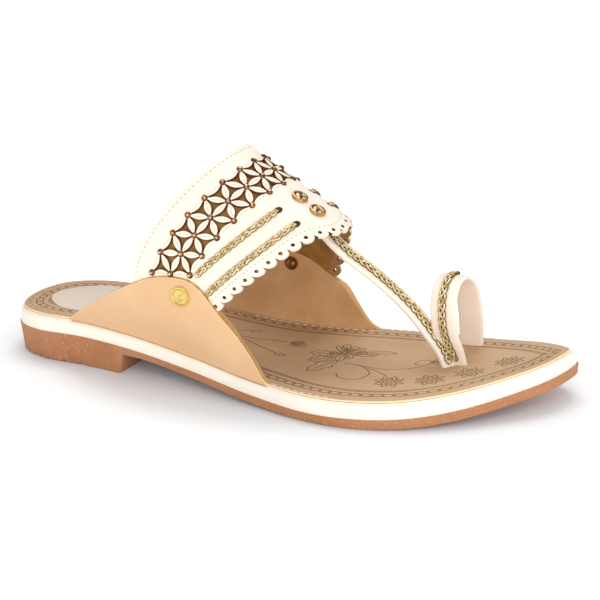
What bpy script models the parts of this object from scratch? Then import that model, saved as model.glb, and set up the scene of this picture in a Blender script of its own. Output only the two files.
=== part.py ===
"""Flat sandal with an instep band and a toe loop, for the right foot, as separate closed solids.

+X points from heel to toe, +Y to the inner side of the foot and +Z up, in metres.
The origin is on the floor under the middle of the sole.
A place along the shoe is a share of LENGTH, 0 at the back of the heel and 1 at the toe.
A place across it is a share of BALL_WIDTH, measured from the middle, with the inner side positive.
"""

from functools import lru_cache
from typing import NamedTuple

import bmesh
import bpy
import numpy as np
from mathutils import Matrix, Vector

# Driving dimensions of the sole
LENGTH = 0.250
BALL_WIDTH = 0.0915
OUTSOLE_WALL = 0.0044
HEEL_LIFT = 0.0089
HEEL_BREAST_DEPTH = 0.0084
SHANK_WALL = 0.0031
TOE_SPRING = 0.0097
RAND_HEIGHT = 0.0064
RAND_ROUND = 0.0020
OUTSOLE_LIP = 0.0004
HEEL_TAPER = 0.0014
INSOLE_WALL = 0.0015
INSOLE_INSET = 0.00215
SOCK_WALL = 0.0006

# Grooves across the bottom of the heel
GROOVE_COUNT = 7
GROOVE_PITCH = 0.0042
GROOVE_WIDTH = 0.0014
GROOVE_DEPTH = 0.0009

# Driving dimensions of the upper
WING_HEIGHT = 0.0345
WING_WALL = 0.0023
PLY_WALL = 0.0009
INSTEP_RISE = 0.0803
BAND_WALL = 0.0013
LINING_WALL = 0.0006
BAND_TUCK = 0.014
LINING_TUCK = 0.009
LINING_REAR_MARGIN = 0.0008
LINING_FRONT_MARGIN = 0.0060
SCALLOP_COUNT = 22
SCALLOP_DEPTH = 0.0022
FRONT_BOW = 0.0060
FRONT_BOW_SPREAD = 0.012
FRONT_BOW_SHIFT = 0.002

# Lattice of petals cut into the band
LATTICE_PITCH = 0.0096
LATTICE_MARGIN = 0.0097
LATTICE_END_MARGIN = 0.0020
LATTICE_SHIFT = 0.0011
PETAL_WIDTH = 0.0034
PETAL_NODE = 0.0021

# Thong strap, toe loop and cords
STRAP_WIDTH = 0.0070
STRAP_WALL = 0.0030
LOOP_WIDTH = 0.0115
LOOP_WALL = 0.0018
LOOP_HEIGHT = 0.0355
CORD_WIDTH = 0.0030
CORD_HEIGHT = 0.0013
CORD_PITCH = 0.0042
CORD_END_GAP = 0.013
CORD_REAR_LENGTH = 0.0420
CORD_FRONT_LENGTH = 0.0440
CORD_REAR_FROM_EDGE = 0.0192
CORD_FRONT_FROM_EDGE = 0.0093

# Rivets and crystals
RIVET_DISC_RADIUS = 0.0043
RIVET_DISC_WALL = 0.0008
RIVET_PIN_RADIUS = 0.0014
RIVET_CAP_RADIUS = 0.0026
RIVET_CAP_RISE = 0.0012
CRYSTAL_RADIUS = 0.0034
CRYSTAL_RISE = 0.0021
CRYSTAL_REAR_FROM_EDGE = 0.0186
CRYSTAL_FRONT_FROM_EDGE = 0.0088

# Clearance between neighbouring solids
GAP = 0.0003
WELD = 0.00001
CUT_REACH = 0.02
STRAP_SETTLE = 0.0006
SLOT_GAP = 0.0005

# Pocket in a wing where it takes the end of the band, as shares of the band's foot and lengths
POCKET_BELOW_TUCK = 0.010
POCKET_RAMP = 0.008
POCKET_REAR_REACH = 0.28
POCKET_REAR_RAMP = 0.22
POCKET_FRONT_REACH = 0.28
POCKET_FRONT_RAMP = 0.20


class EdgePoint(NamedTuple):
    """A point of the sole's outline."""

    along: float
    across: float


class SoleLine(NamedTuple):
    """Shares of HEEL_LIFT and RAND_HEIGHT at one place along the sole."""

    along: float
    lift: float
    rand: float


class Arch(NamedTuple):
    """One edge of the band, from its outer foot over the instep to its inner foot."""

    along_outer: float
    along_inner: float
    along_crown: float
    across_outer: float
    across_inner: float
    rise_outer: float
    rise_inner: float
    rise_crown: float
    squareness: float
    skew: float
    lean: float


class WingPoint(NamedTuple):
    """A point of a wing's top edge, as shares of the wing's span and of WING_HEIGHT."""

    along: float
    rise: float


class WingSpan(NamedTuple):
    """Where a wing starts and ends along the sole, and its rivet.

    The rivet's share runs from the band's rear foot to its front foot; its drop is a length
    from the wing's top edge.
    """

    start: float
    end: float
    rivet: float
    rivet_drop: float


class StrapPoint(NamedTuple):
    """A point of the thong strap: its place, its height as a share of INSTEP_RISE, its width."""

    along: float
    across: float
    rise: float
    width: float


class LoopPoint(NamedTuple):
    """A point of the toe loop: its place, its height as a share of LOOP_HEIGHT, its width."""

    along: float
    across: float
    rise: float
    width: float


OUTER_SIDE = (
    EdgePoint(0.020, -0.157), EdgePoint(0.084, -0.252), EdgePoint(0.178, -0.262),
    EdgePoint(0.298, -0.301), EdgePoint(0.418, -0.354), EdgePoint(0.538, -0.427),
    EdgePoint(0.639, -0.487), EdgePoint(0.726, -0.491), EdgePoint(0.810, -0.418),
    EdgePoint(0.883, -0.282), EdgePoint(0.947, -0.094), EdgePoint(0.985, 0.050),
)
INNER_SIDE = (
    EdgePoint(0.990, 0.300), EdgePoint(0.925, 0.420), EdgePoint(0.848, 0.478),
    EdgePoint(0.756, 0.496), EdgePoint(0.653, 0.482), EdgePoint(0.551, 0.412),
    EdgePoint(0.438, 0.330), EdgePoint(0.318, 0.316), EdgePoint(0.197, 0.338),
    EdgePoint(0.095, 0.330), EdgePoint(0.022, 0.232),
)
HEEL_TIP = EdgePoint(0.0, 0.035)
TOE_TIP = EdgePoint(1.0, 0.200)

SOLE_LINES = (
    SoleLine(0.00, 0.91, 1.08), SoleLine(0.14, 1.00, 0.99), SoleLine(0.28, 0.84, 0.935),
    SoleLine(0.40, 0.49, 0.92), SoleLine(0.52, 0.11, 0.92), SoleLine(0.64, -0.05, 0.975),
    SoleLine(0.76, 0.00, 1.01), SoleLine(0.90, 0.00, 1.05), SoleLine(1.00, 0.00, 0.96),
)
BREAST_ALONG = 0.255
BALL_START = 0.635
ROLL_START = 0.752
GROOVE_START = 0.060

REAR_ARCH = Arch(0.3030, 0.3219, 0.4255, -0.344, 0.403, 0.884, 0.887, 1.000, 2.34, 0.035, 1.51)
FRONT_ARCH = Arch(0.4689, 0.5411, 0.6180, -0.368, 0.406, 0.687, 0.622, 0.731, 2.19, -0.019, 1.11)

OUTER_SPAN = WingSpan(0.140, 0.568, 0.600, 0.0075)
INNER_SPAN = WingSpan(0.140, 0.622, 0.600, 0.0066)
OUTER_WING = (
    WingPoint(0.00, 0.00), WingPoint(0.09, 0.20), WingPoint(0.19, 0.40), WingPoint(0.31, 0.64),
    WingPoint(0.39, 0.78), WingPoint(0.46, 0.895), WingPoint(0.52, 0.957), WingPoint(0.583, 0.994),
    WingPoint(0.644, 0.994), WingPoint(0.704, 0.916), WingPoint(0.768, 0.728),
    WingPoint(0.83, 0.554), WingPoint(0.876, 0.394), WingPoint(0.924, 0.228),
    WingPoint(0.963, 0.084), WingPoint(1.00, 0.00),
)
INNER_WING = (
    WingPoint(0.00, 0.00), WingPoint(0.085, 0.20), WingPoint(0.18, 0.40), WingPoint(0.29, 0.64),
    WingPoint(0.36, 0.77), WingPoint(0.43, 0.88), WingPoint(0.50, 0.94), WingPoint(0.57, 0.955),
    WingPoint(0.63, 0.905), WingPoint(0.674, 0.852), WingPoint(0.731, 0.803),
    WingPoint(0.767, 0.737), WingPoint(0.80, 0.652), WingPoint(0.831, 0.597),
    WingPoint(0.861, 0.533), WingPoint(0.90, 0.348), WingPoint(0.955, 0.093), WingPoint(1.00, 0.00),
)

STRAP_POINTS = (
    StrapPoint(0.605, 0.036, 0.612, 1.00), StrapPoint(0.628, 0.040, 0.555, 1.00),
    StrapPoint(0.666, 0.047, 0.478, 1.00), StrapPoint(0.702, 0.056, 0.391, 1.00),
    StrapPoint(0.734, 0.068, 0.297, 1.00), StrapPoint(0.768, 0.080, 0.170, 0.96),
    StrapPoint(0.7905, 0.085, 0.060, 0.88), StrapPoint(0.7990, 0.086, 0.000, 0.80),
)
STRAP_ANCHOR_FROM_EDGE = 0.024
STRAP_ANCHOR_STEP = 0.006
STRAP_ANCHOR_ALONG_ARC = 0.0049

LOOP_POINTS = (
    LoopPoint(0.8240, 0.055, 0.00, 0.48), LoopPoint(0.8130, 0.030, 0.16, 0.80),
    LoopPoint(0.8025, 0.036, 0.40, 0.94), LoopPoint(0.8000, 0.038, 0.66, 1.00),
    LoopPoint(0.8000, 0.047, 0.84, 1.00), LoopPoint(0.8000, 0.080, 0.96, 1.00),
    LoopPoint(0.7995, 0.130, 1.00, 1.00), LoopPoint(0.7985, 0.200, 0.965, 1.00),
    LoopPoint(0.7975, 0.259, 0.87, 1.00), LoopPoint(0.7965, 0.310, 0.69, 0.98),
    LoopPoint(0.7955, 0.345, 0.43, 0.96), LoopPoint(0.7945, 0.358, 0.18, 0.94),
    LoopPoint(0.7940, 0.360, 0.00, 0.92),
)

SOCK_START = 0.008
SOCK_END = 0.230
SOCK_INSET = 0.0105
SOCK_FULLNESS = 0.75

CREAM = (0.83, 0.76, 0.64)
TAN = (0.72, 0.48, 0.26)
TAUPE = (0.52, 0.35, 0.20)
BROWN = (0.30, 0.13, 0.06)
GOLD = (0.62, 0.45, 0.18)


def new_collection(name):
    """Make a collection in the scene and return it."""
    group = bpy.data.collections.new(name)
    bpy.context.scene.collection.children.link(group)
    return group


def make_material(name, colour, roughness, metallic=0.0):
    """Make a Principled material."""
    material = bpy.data.materials.new(name)
    material.use_nodes = True
    shader = material.node_tree.nodes["Principled BSDF"]
    shader.inputs["Base Color"].default_value = (*colour, 1.0)
    shader.inputs["Roughness"].default_value = roughness
    shader.inputs["Metallic"].default_value = metallic
    return material


def mesh_object(name, vertices, faces, group, material=None):
    """Make an object from points and faces, with its faces pointing out."""
    work = bmesh.new()
    made = [work.verts.new(point) for point in vertices]
    for face in faces:
        work.faces.new([made[index] for index in face])
    bmesh.ops.recalc_face_normals(work, faces=work.faces)
    mesh = bpy.data.meshes.new(name)
    work.to_mesh(mesh)
    work.free()
    item = bpy.data.objects.new(name, mesh)
    group.objects.link(item)
    if material is not None:
        mesh.materials.append(material)
    return item


def as_cutter(item):
    """Show a cutter as a wire and keep it out of renders."""
    item.display_type = "WIRE"
    item.hide_render = True
    return item


def cut(item, cutter):
    """Add a Boolean modifier that takes the cutter out of the item."""
    modifier = item.modifiers.new("cut_" + cutter.name, "BOOLEAN")
    modifier.operation = "DIFFERENCE"
    modifier.solver = "EXACT"
    modifier.object = cutter


def smooth(shares, values, at):
    """Carry a smooth curve through the values of a table and read it at the given shares."""
    x = np.asarray(shares, float)
    y = np.asarray(values, float)
    slope = np.gradient(y, x)
    at = np.clip(np.asarray(at, float), x[0], x[-1])
    k = np.clip(np.searchsorted(x, at, side="right") - 1, 0, len(x) - 2)
    step = x[k + 1] - x[k]
    t = (at - x[k]) / step
    start = (1 + 2 * t) * (1 - t) ** 2 * y[k] + t * (1 - t) ** 2 * step * slope[k]
    end = t**2 * (3 - 2 * t) * y[k + 1] - t**2 * (1 - t) * step * slope[k + 1]
    return start + end


def chord_lengths(points):
    """Running length along a line of points."""
    steps = np.linalg.norm(np.diff(points, axis=0), axis=1)
    return np.concatenate([[0.0], np.cumsum(steps)])


def spread_evenly(points, count):
    """Read a line of points again at even steps of its length."""
    run = chord_lengths(points)
    at = np.linspace(0.0, run[-1], count)
    return np.stack([np.interp(at, run, points[:, axis]) for axis in range(points.shape[1])], 1)


def unit(vectors):
    """Scale each vector to a length of one."""
    return vectors / np.linalg.norm(vectors, axis=-1, keepdims=True)


@lru_cache(maxsize=None)
def outline():
    """The sole's outline seen from above, as dense points and their outward normals."""
    corners = np.array([HEEL_TIP, *OUTER_SIDE, TOE_TIP, *INNER_SIDE])
    before = np.roll(corners, 1, axis=0)
    after = np.roll(corners, -1, axis=0)
    beyond = np.roll(corners, -2, axis=0)
    t = np.linspace(0.0, 1.0, 24, endpoint=False)[None, :, None]
    p0, p1, p2, p3 = (part[:, None, :] for part in (before, corners, after, beyond))
    curve = 0.5 * (2 * p1 + (p2 - p0) * t + (2 * p0 - 5 * p1 + 4 * p2 - p3) * t**2
                   + (3 * p1 - p0 - 3 * p2 + p3) * t**3)
    curve = curve.reshape(-1, 2)
    low = curve.min(axis=0)
    high = curve.max(axis=0)
    curve = ((curve - low) / (high - low) - 0.5) * np.array([LENGTH, BALL_WIDTH])
    tangent = unit(np.roll(curve, -1, axis=0) - np.roll(curve, 1, axis=0))
    normal = np.stack([tangent[:, 1], -tangent[:, 0]], axis=1)
    return curve, normal


def along_of(x):
    """The share along the sole of a place on the X axis."""
    return x / LENGTH + 0.5


def x_of(along):
    """The place on the X axis of a share along the sole."""
    return (along - 0.5) * LENGTH


def rim(inset):
    """Both sides of the outline, moved in by a length or by a function of the share along."""
    points, normals = outline()
    depth = inset(along_of(points[:, 0])) if callable(inset) else inset
    moved = points - normals * np.reshape(depth * np.ones(len(points)), (-1, 1))
    heel = int(np.argmin(moved[:, 0]))
    moved = np.roll(moved, -heel, axis=0)
    toe = int(np.argmax(moved[:, 0]))
    outer = moved[: toe + 1]
    inner = np.vstack([moved[:1], moved[toe:][::-1]])
    return outer, inner


def side_y(side, x, inset):
    """The place across of the inset outline, on the outer side (-1) or the inner side (+1)."""
    outer, inner = rim(inset)
    line = outer if side < 0 else inner
    order = np.argsort(line[:, 0])
    return np.interp(x, line[order, 0], line[order, 1])


def ground(along):
    """Height of the outsole's underside, which rolls up towards the toe."""
    share = np.clip((np.asarray(along) - ROLL_START) / (1 - ROLL_START), 0, None)
    return TOE_SPRING * share**2


def rand_foot(along):
    """Height of the line where rand and outsole meet."""
    lift = smooth([row.along for row in SOLE_LINES], [row.lift for row in SOLE_LINES], along)
    return OUTSOLE_WALL + HEEL_LIFT * lift + ground(along)


def gold_line(along):
    """Height of the middle of the insole's painted edge."""
    rand = smooth([row.along for row in SOLE_LINES], [row.rand for row in SOLE_LINES], along)
    return rand_foot(along) + RAND_HEIGHT * rand


def insole_top(along):
    """Height of the insole's upper face."""
    return gold_line(along) + INSOLE_WALL / 2


def midsole_top(along):
    """Height of the midsole's upper face, a clearance under the insole."""
    return gold_line(along) - INSOLE_WALL / 2 - GAP


def ring(inset, height, rows):
    """A closed ring of points round the sole, at an inset and at a height that follows the length."""
    outer, inner = rim(inset)
    low = outer[0, 0]
    high = outer[-1, 0]
    x = low + (high - low) * (1 - np.cos(np.linspace(0, np.pi, rows + 1))) / 2
    outer_y = np.interp(x, outer[:, 0], outer[:, 1])
    inner_y = np.interp(x, inner[:, 0], inner[:, 1])
    plan_x = np.concatenate([x, x[-2:0:-1]])
    plan_y = np.concatenate([outer_y, inner_y[-2:0:-1]])
    return np.stack([plan_x, plan_y, height(along_of(plan_x))], axis=1)


def stacked_sheet(name, rings, rows, group, material=None):
    """A plate through a stack of rings, closed below and above by strips across the sole."""
    count = 2 * rows
    points = np.vstack(rings)
    faces = []
    for level in range(len(rings) - 1):
        lower = level * count
        for k in range(count):
            after = (k + 1) % count
            faces.append((lower + k, lower + after, lower + count + after, lower + count + k))
    for base in (0, (len(rings) - 1) * count):
        for k in range(rows):
            outer_pair = [base + k, base + k + 1]
            inner_pair = [base + (count - k - 1) % count, base + (count - k) % count]
            face = list(dict.fromkeys(outer_pair + inner_pair))
            faces.append(tuple(face))
    return mesh_object(name, points, faces, group, material)


def sheet_normals(grid):
    """Unit normals of a grid of points, from its two directions."""
    first = np.gradient(grid, axis=0)
    second = np.gradient(grid, axis=1)
    return unit(np.cross(first, second))


def thick_sheet(name, upper, lower, group, material=None):
    """A closed sheet between two grids of points of the same size."""
    rows, columns = upper.shape[:2]
    points = np.vstack([upper.reshape(-1, 3), lower.reshape(-1, 3)])
    below = rows * columns
    faces = []
    for i in range(rows - 1):
        for j in range(columns - 1):
            a = i * columns + j
            quad = (a, a + columns, a + columns + 1, a + 1)
            faces.append(quad)
            faces.append(tuple(below + k for k in reversed(quad)))
    border = [j for j in range(columns)]
    border += [i * columns + columns - 1 for i in range(1, rows)]
    border += [(rows - 1) * columns + j for j in range(columns - 2, -1, -1)]
    border += [i * columns for i in range(rows - 2, 0, -1)]
    for k, start in enumerate(border):
        end = border[(k + 1) % len(border)]
        faces.append((start, end, below + end, below + start))
    return mesh_object(name, points, faces, group, material)


def carried_section(name, sections, group, material=None):
    """A closed bar through a list of closed sections with the same number of points."""
    count = len(sections[0])
    points = np.vstack(sections)
    faces = []
    for level in range(len(sections) - 1):
        lower = level * count
        for k in range(count):
            after = (k + 1) % count
            faces.append((lower + k, lower + after, lower + count + after, lower + count + k))
    faces.append(tuple(range(count)))
    faces.append(tuple(range((len(sections) - 1) * count, len(sections) * count)))
    return mesh_object(name, points, faces, group, material)


def block(name, low, high, group):
    """A box between two corners, made from the cube primitive."""
    low = Vector(low)
    high = Vector(high)
    work = bmesh.new()
    bmesh.ops.create_cube(work, size=1.0)
    bmesh.ops.scale(work, vec=high - low, verts=work.verts)
    bmesh.ops.translate(work, vec=(high + low) / 2, verts=work.verts)
    mesh = bpy.data.meshes.new(name)
    work.to_mesh(mesh)
    work.free()
    item = bpy.data.objects.new(name, mesh)
    group.objects.link(item)
    return item


def turned(name, profile, steps, place, group, material):
    """A turned piece: a profile of (radius, height) pairs spun round its own Z axis."""
    mesh = bpy.data.meshes.new(name)
    edges = [(k, k + 1) for k in range(len(profile) - 1)]
    mesh.from_pydata([(radius, 0.0, height) for radius, height in profile], edges, [])
    mesh.materials.append(material)
    item = bpy.data.objects.new(name, mesh)
    group.objects.link(item)
    item.matrix_world = place
    screw = item.modifiers.new("turn", "SCREW")
    screw.axis = "Z"
    screw.steps = steps
    screw.render_steps = steps
    screw.use_merge_vertices = True
    screw.merge_threshold = WELD
    weld = item.modifiers.new("weld", "WELD")
    weld.merge_threshold = WELD
    return item


def arch_line(arch, count=161):
    """Points of one edge of the band, worked out from a squared arch over the instep."""
    angle = np.linspace(np.pi, 0.0, count)
    across = np.sign(np.cos(angle)) * np.abs(np.cos(angle)) ** (2 / arch.squareness)
    rise = np.abs(np.sin(angle)) ** (2 / arch.squareness)
    inward = (across + 1) / 2
    y = (arch.across_outer + (arch.across_inner - arch.across_outer) * inward + arch.skew * rise)
    foot_along = arch.along_outer + (arch.along_inner - arch.along_outer) * inward
    along = foot_along + (arch.along_crown - foot_along) * rise**arch.lean
    outer_foot, inner_foot, crown = arch_heights(arch)
    foot = outer_foot + (inner_foot - outer_foot) * inward
    z = foot + (crown - foot) * rise
    return np.stack([x_of(along), y * BALL_WIDTH, z], axis=1)


def arch_heights(arch):
    """Heights of an arch's outer foot, inner foot and crown."""
    outer_foot = gold_line(arch.along_outer) + WING_HEIGHT * arch.rise_outer
    inner_foot = gold_line(arch.along_inner) + WING_HEIGHT * arch.rise_inner
    crown = gold_line(arch.along_crown) + INSTEP_RISE * arch.rise_crown
    return outer_foot, inner_foot, crown


@lru_cache(maxsize=None)
def band_edges():
    """The band's rear and front edges, matched at even shares of their lengths."""
    rear = spread_evenly(arch_line(REAR_ARCH), 161)
    front = spread_evenly(arch_line(FRONT_ARCH), 161)
    return rear, front


def ruling(u):
    """Points of the rear edge and of the front edge at the given shares of their lengths."""
    rear, front = band_edges()
    at = np.linspace(0.0, 1.0, len(rear))
    start = np.stack([np.interp(u, at, rear[:, axis]) for axis in range(3)], axis=-1)
    end = np.stack([np.interp(u, at, front[:, axis]) for axis in range(3)], axis=-1)
    return start, end


def band_row(depth, from_front=False):
    """A line of dense points along the band at one distance from its rear or front edge."""
    rear, front = band_edges()
    width = np.linalg.norm(front - rear, axis=1, keepdims=True)
    share = 1 - depth / width if from_front else depth / width
    return rear + (front - rear) * share


def band_normals(points_on, step=0.001, from_front=False):
    """Outward normals along one line of the band."""
    here = band_row(points_on, from_front)
    ahead = band_row(points_on + (-step if from_front else step), from_front)
    return unit(np.cross(ahead - here, np.gradient(here, axis=0)))


def band_place(arc, depth, lift=0.0, from_front=False):
    """A point of the band by its distance along the arc from the crown and from an edge."""
    line = band_row(depth, from_front)
    normal = band_normals(depth, from_front=from_front)
    run = chord_lengths(line)
    at = np.interp(0.5, np.linspace(0, 1, len(run)), run) + arc
    point = np.array([np.interp(at, run, line[:, axis]) for axis in range(3)])
    out = np.array([np.interp(at, run, normal[:, axis]) for axis in range(3)])
    return point + out * lift, out / np.linalg.norm(out)


def side_feet(side):
    """The rear foot and the front foot of the band on one side."""
    rear, front = band_edges()
    end = 0 if side < 0 else -1
    return rear[end], front[end]


def wing_foot_y(side, x):
    """Place across of the wing's middle where it leaves the sole."""
    return side_y(side, x, INSOLE_INSET + WING_WALL / 2)


def wing_y(side, x, z):
    """Place across of the middle of a wing, which bends from the sole up into the band."""
    rear_foot, front_foot = side_feet(side)
    share = (x - rear_foot[0]) / (front_foot[0] - rear_foot[0])
    share = np.clip(share, -0.8, 1.6)
    held = np.clip(share, 0.0, 1.0)
    line_y = rear_foot[1] + (front_foot[1] - rear_foot[1]) * held
    line_z = rear_foot[2] + (front_foot[2] - rear_foot[2]) * share
    crown_z = arch_heights(REAR_ARCH)[2] * (1 - held) + arch_heights(FRONT_ARCH)[2] * held
    middle = (REAR_ARCH.across_outer + REAR_ARCH.across_inner) / 2 * (1 - held)
    middle = (middle + (FRONT_ARCH.across_outer + FRONT_ARCH.across_inner) / 2 * held) * BALL_WIDTH
    power = REAR_ARCH.squareness * (1 - held) + FRONT_ARCH.squareness * held
    skew = (REAR_ARCH.skew * (1 - held) + FRONT_ARCH.skew * held) * BALL_WIDTH
    above = np.clip((z - line_z) / (crown_z - line_z), 0.0, 0.6)
    y_above = middle + (line_y - middle) * (1 - above**power) ** (1 / power) + skew * above
    base_z = gold_line(along_of(x))
    below = np.clip((line_z - z) / (line_z - base_z), 0.0, 1.3)
    y_below = line_y + (wing_foot_y(side, x) - line_y) * below**1.6
    return np.where(z > line_z, y_above, y_below)


def foot_slope(arch, side):
    """How far an edge of the band runs along the shoe for each length that it rises at its foot."""
    outer_foot, inner_foot, crown = arch_heights(arch)
    foot_along = arch.along_outer if side < 0 else arch.along_inner
    foot_z = outer_foot if side < 0 else inner_foot
    near_foot = 0.03
    run = (arch.along_crown - foot_along) * LENGTH * arch.lean * near_foot ** (arch.lean - 1)
    return run / (crown - foot_z)


def edge_reach(u, scalloped, reach=0.0):
    """How far the band's front edge stands past its arch: the bow at the crown and the scallops."""
    _, front = band_edges()
    run = chord_lengths(front)[-1]
    from_bow = (u - 0.5) * run - FRONT_BOW_SHIFT
    bow = FRONT_BOW * np.exp(-((from_bow / FRONT_BOW_SPREAD) ** 2))
    if not scalloped:
        return bow + reach
    phase = np.mod(u * SCALLOP_COUNT, 1.0)
    notch = 1 - np.sqrt(np.clip(1 - (2 * phase - 1) ** 2, 0.0, 1.0))
    return bow - SCALLOP_DEPTH * notch + reach


def band_grid(u, shares, front_reach, rear_reach=0.0, tuck=BAND_TUCK, tuck_rows=3):
    """Middle surface of the band, with its ends led down inside the wings."""
    start, end = ruling(u)
    direction = unit(end - start)
    end = end + direction * front_reach[:, None]
    start = start - direction * rear_reach
    grid = start[:, None, :] + (end - start)[:, None, :] * shares[None, :, None]
    steps = tuck * np.arange(1, tuck_rows + 1) / tuck_rows
    parts = [grid]
    for side, foot in ((-1, grid[0]), (1, grid[-1])):
        slopes = foot_slope(REAR_ARCH, side) * (1 - shares) + foot_slope(FRONT_ARCH, side) * shares
        x = foot[None, :, 0] - slopes[None, :] * steps[:, None]
        z = foot[None, :, 2] - steps[:, None]
        y = wing_y(side, x, z)
        tail = np.stack([x, y, z], axis=-1)
        if side < 0:
            parts.insert(0, tail[::-1])
        else:
            parts.append(tail)
    return np.concatenate(parts, axis=0)


def offset_sheet(name, grid, lift, wall, group, material=None):
    """A sheet of a wall's thickness whose middle stands a lift off the grid, outwards."""
    normal = -sheet_normals(grid)
    upper = grid + normal * (lift + wall / 2)
    lower = grid + normal * (lift - wall / 2)
    return thick_sheet(name, upper, lower, group, material)


def lattice_nodes(row):
    """Distances along the arc of the studs in one row, counted from the crown."""
    half_length = chord_lengths(band_row(LATTICE_MARGIN))[-1] / 2 - LATTICE_SHIFT
    count = 2 * int((half_length - LATTICE_END_MARGIN) / LATTICE_PITCH) + 1 - row
    return (np.arange(count) - (count - 1) / 2) * LATTICE_PITCH + LATTICE_SHIFT


def lattice_depth(row):
    """Distance of a row of studs from the band's rear edge."""
    return LATTICE_MARGIN + row * LATTICE_PITCH * np.sqrt(3) / 2


def petal_window(corners):
    """The gap between three petals: corners near the studs and sides that the petals push in."""
    corners = np.asarray(corners)
    centre = corners.mean(axis=0)
    points = []
    for k in range(3):
        node = corners[k]
        after = corners[(k + 1) % 3]
        points.append(node + (centre - node) * PETAL_NODE / np.linalg.norm(centre - node))
        for share in (0.34, 0.66):
            on_side = node + (after - node) * share
            inward = centre - (node + after) / 2
            bulge = PETAL_WIDTH / 2 * (1 - (2 * share - 1) ** 2) ** 0.5
            points.append(on_side + inward / np.linalg.norm(inward) * bulge)
    return points


def lattice_windows():
    """All gaps of the lattice, each as points given by distance along and from the rear edge."""
    windows = []
    for row in range(2):
        upper = [(arc, lattice_depth(row)) for arc in lattice_nodes(row)]
        lower = [(arc, lattice_depth(row + 1)) for arc in lattice_nodes(row + 1)]
        for k, node in enumerate(lower):
            windows.append(petal_window([upper[k], upper[k + 1], node]))
        for k in range(len(lower) - 1):
            windows.append(petal_window([upper[k + 1], lower[k + 1], lower[k]]))
    return windows


def lattice_cutter(group):
    """One mesh with a prism through the band for each gap of the lattice."""
    points = []
    faces = []
    for window in lattice_windows():
        base = len(points)
        count = len(window)
        middle = np.mean(window, axis=0)
        _, axis = band_place(middle[0], middle[1])
        for arc, depth in window:
            point, _ = band_place(arc, depth)
            points.append(point + axis * BAND_WALL * 2)
        for arc, depth in window:
            point, _ = band_place(arc, depth)
            points.append(point - axis * BAND_WALL * 2)
        for k in range(count):
            after = (k + 1) % count
            faces.append((base + k, base + after, base + count + after, base + count + k))
        faces.append(tuple(range(base, base + count)))
        faces.append(tuple(range(base + count, base + 2 * count)))
    return as_cutter(mesh_object("lattice_cutter", points, faces, group))


def wing_top(side, x):
    """Height of a wing's top edge."""
    span, table = (OUTER_SPAN, OUTER_WING) if side < 0 else (INNER_SPAN, INNER_WING)
    share = (along_of(x) - span.start) / (span.end - span.start)
    rise = smooth([row.along for row in table], [row.rise for row in table], share)
    return gold_line(along_of(x)) + WING_HEIGHT * np.clip(rise, 0.0, None)


def wing_walls(side, x, z):
    """Half thickness of a wing: thicker where it takes the end of the band between its plies."""
    rear_foot, front_foot = side_feet(side)
    share = (x - rear_foot[0]) / (front_foot[0] - rear_foot[0])
    line_z = rear_foot[2] + (front_foot[2] - rear_foot[2]) * share
    pocket = BAND_WALL / 2 + GAP + PLY_WALL
    plain = WING_WALL / 2
    deep = np.clip((z - line_z + BAND_TUCK + POCKET_BELOW_TUCK) / POCKET_RAMP, 0.0, 1.0)
    before = np.clip((share + POCKET_REAR_REACH) / POCKET_REAR_RAMP, 0.0, 1.0)
    beyond = np.clip((1 + POCKET_FRONT_REACH - share) / POCKET_FRONT_RAMP, 0.0, 1.0)
    part = deep * before * beyond
    part = part * part * (3 - 2 * part)
    return plain + (pocket - plain) * part


def wing_columns(side, end_reach=0.0, columns=27):
    """Places on the X axis of a wing's columns."""
    span = OUTER_SPAN if side < 0 else INNER_SPAN
    return np.linspace(x_of(span.start) - end_reach, x_of(span.end) + end_reach, columns)


def wing_grid(side, rows, bottom_drop=0.0, top_lift=0.0, end_reach=0.0):
    """Middle surface of a wing, in columns that stand on the midsole."""
    x = wing_columns(side, end_reach)
    bottom = midsole_top(along_of(x)) + GAP - bottom_drop
    top = wing_top(side, x) + top_lift
    z = bottom[:, None] + (top - bottom)[:, None] * np.linspace(0.0, 1.0, rows)[None, :]
    x = np.repeat(x[:, None], rows, axis=1)
    return np.stack([x, wing_y(side, x, z), z], axis=-1)


def wing_solid(name, side, group, material=None, outward=0.0, inward=0.0, **reach):
    """A wing as a closed sheet, or its cutter with extra reach outwards and inwards."""
    grid = wing_grid(side, 7, **reach)
    normal = sheet_normals(grid)
    normal = unit(normal * np.array([1.0, 1.0, 0.0]) * np.sign(normal[..., 1:2] * side))
    half = wing_walls(side, grid[..., 0], grid[..., 2])[..., None]
    upper = grid + normal * (half + outward)
    lower = grid - normal * (half + inward)
    return thick_sheet(name, upper, lower, group, material)


def rivet_place(side):
    """Matrix of a rivet: its origin in the middle of the band, its Z axis outwards."""
    rear_foot, front_foot = side_feet(side)
    span = OUTER_SPAN if side < 0 else INNER_SPAN
    x = rear_foot[0] + (front_foot[0] - rear_foot[0]) * span.rivet
    z = float(wing_top(side, x)) - span.rivet_drop
    step = 0.001
    y = float(wing_y(side, x, z))
    up = Vector((0.0, float(wing_y(side, x, z + step)) - y, step)).normalized()
    ahead = Vector((step, float(wing_y(side, x + step, z)) - y, 0.0)).normalized()
    out = ahead.cross(up)
    if out.y * side < 0:
        out = -out
    return Matrix.Translation((x, y, z)) @ out.to_track_quat("Z", "Y").to_matrix().to_4x4()


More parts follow.
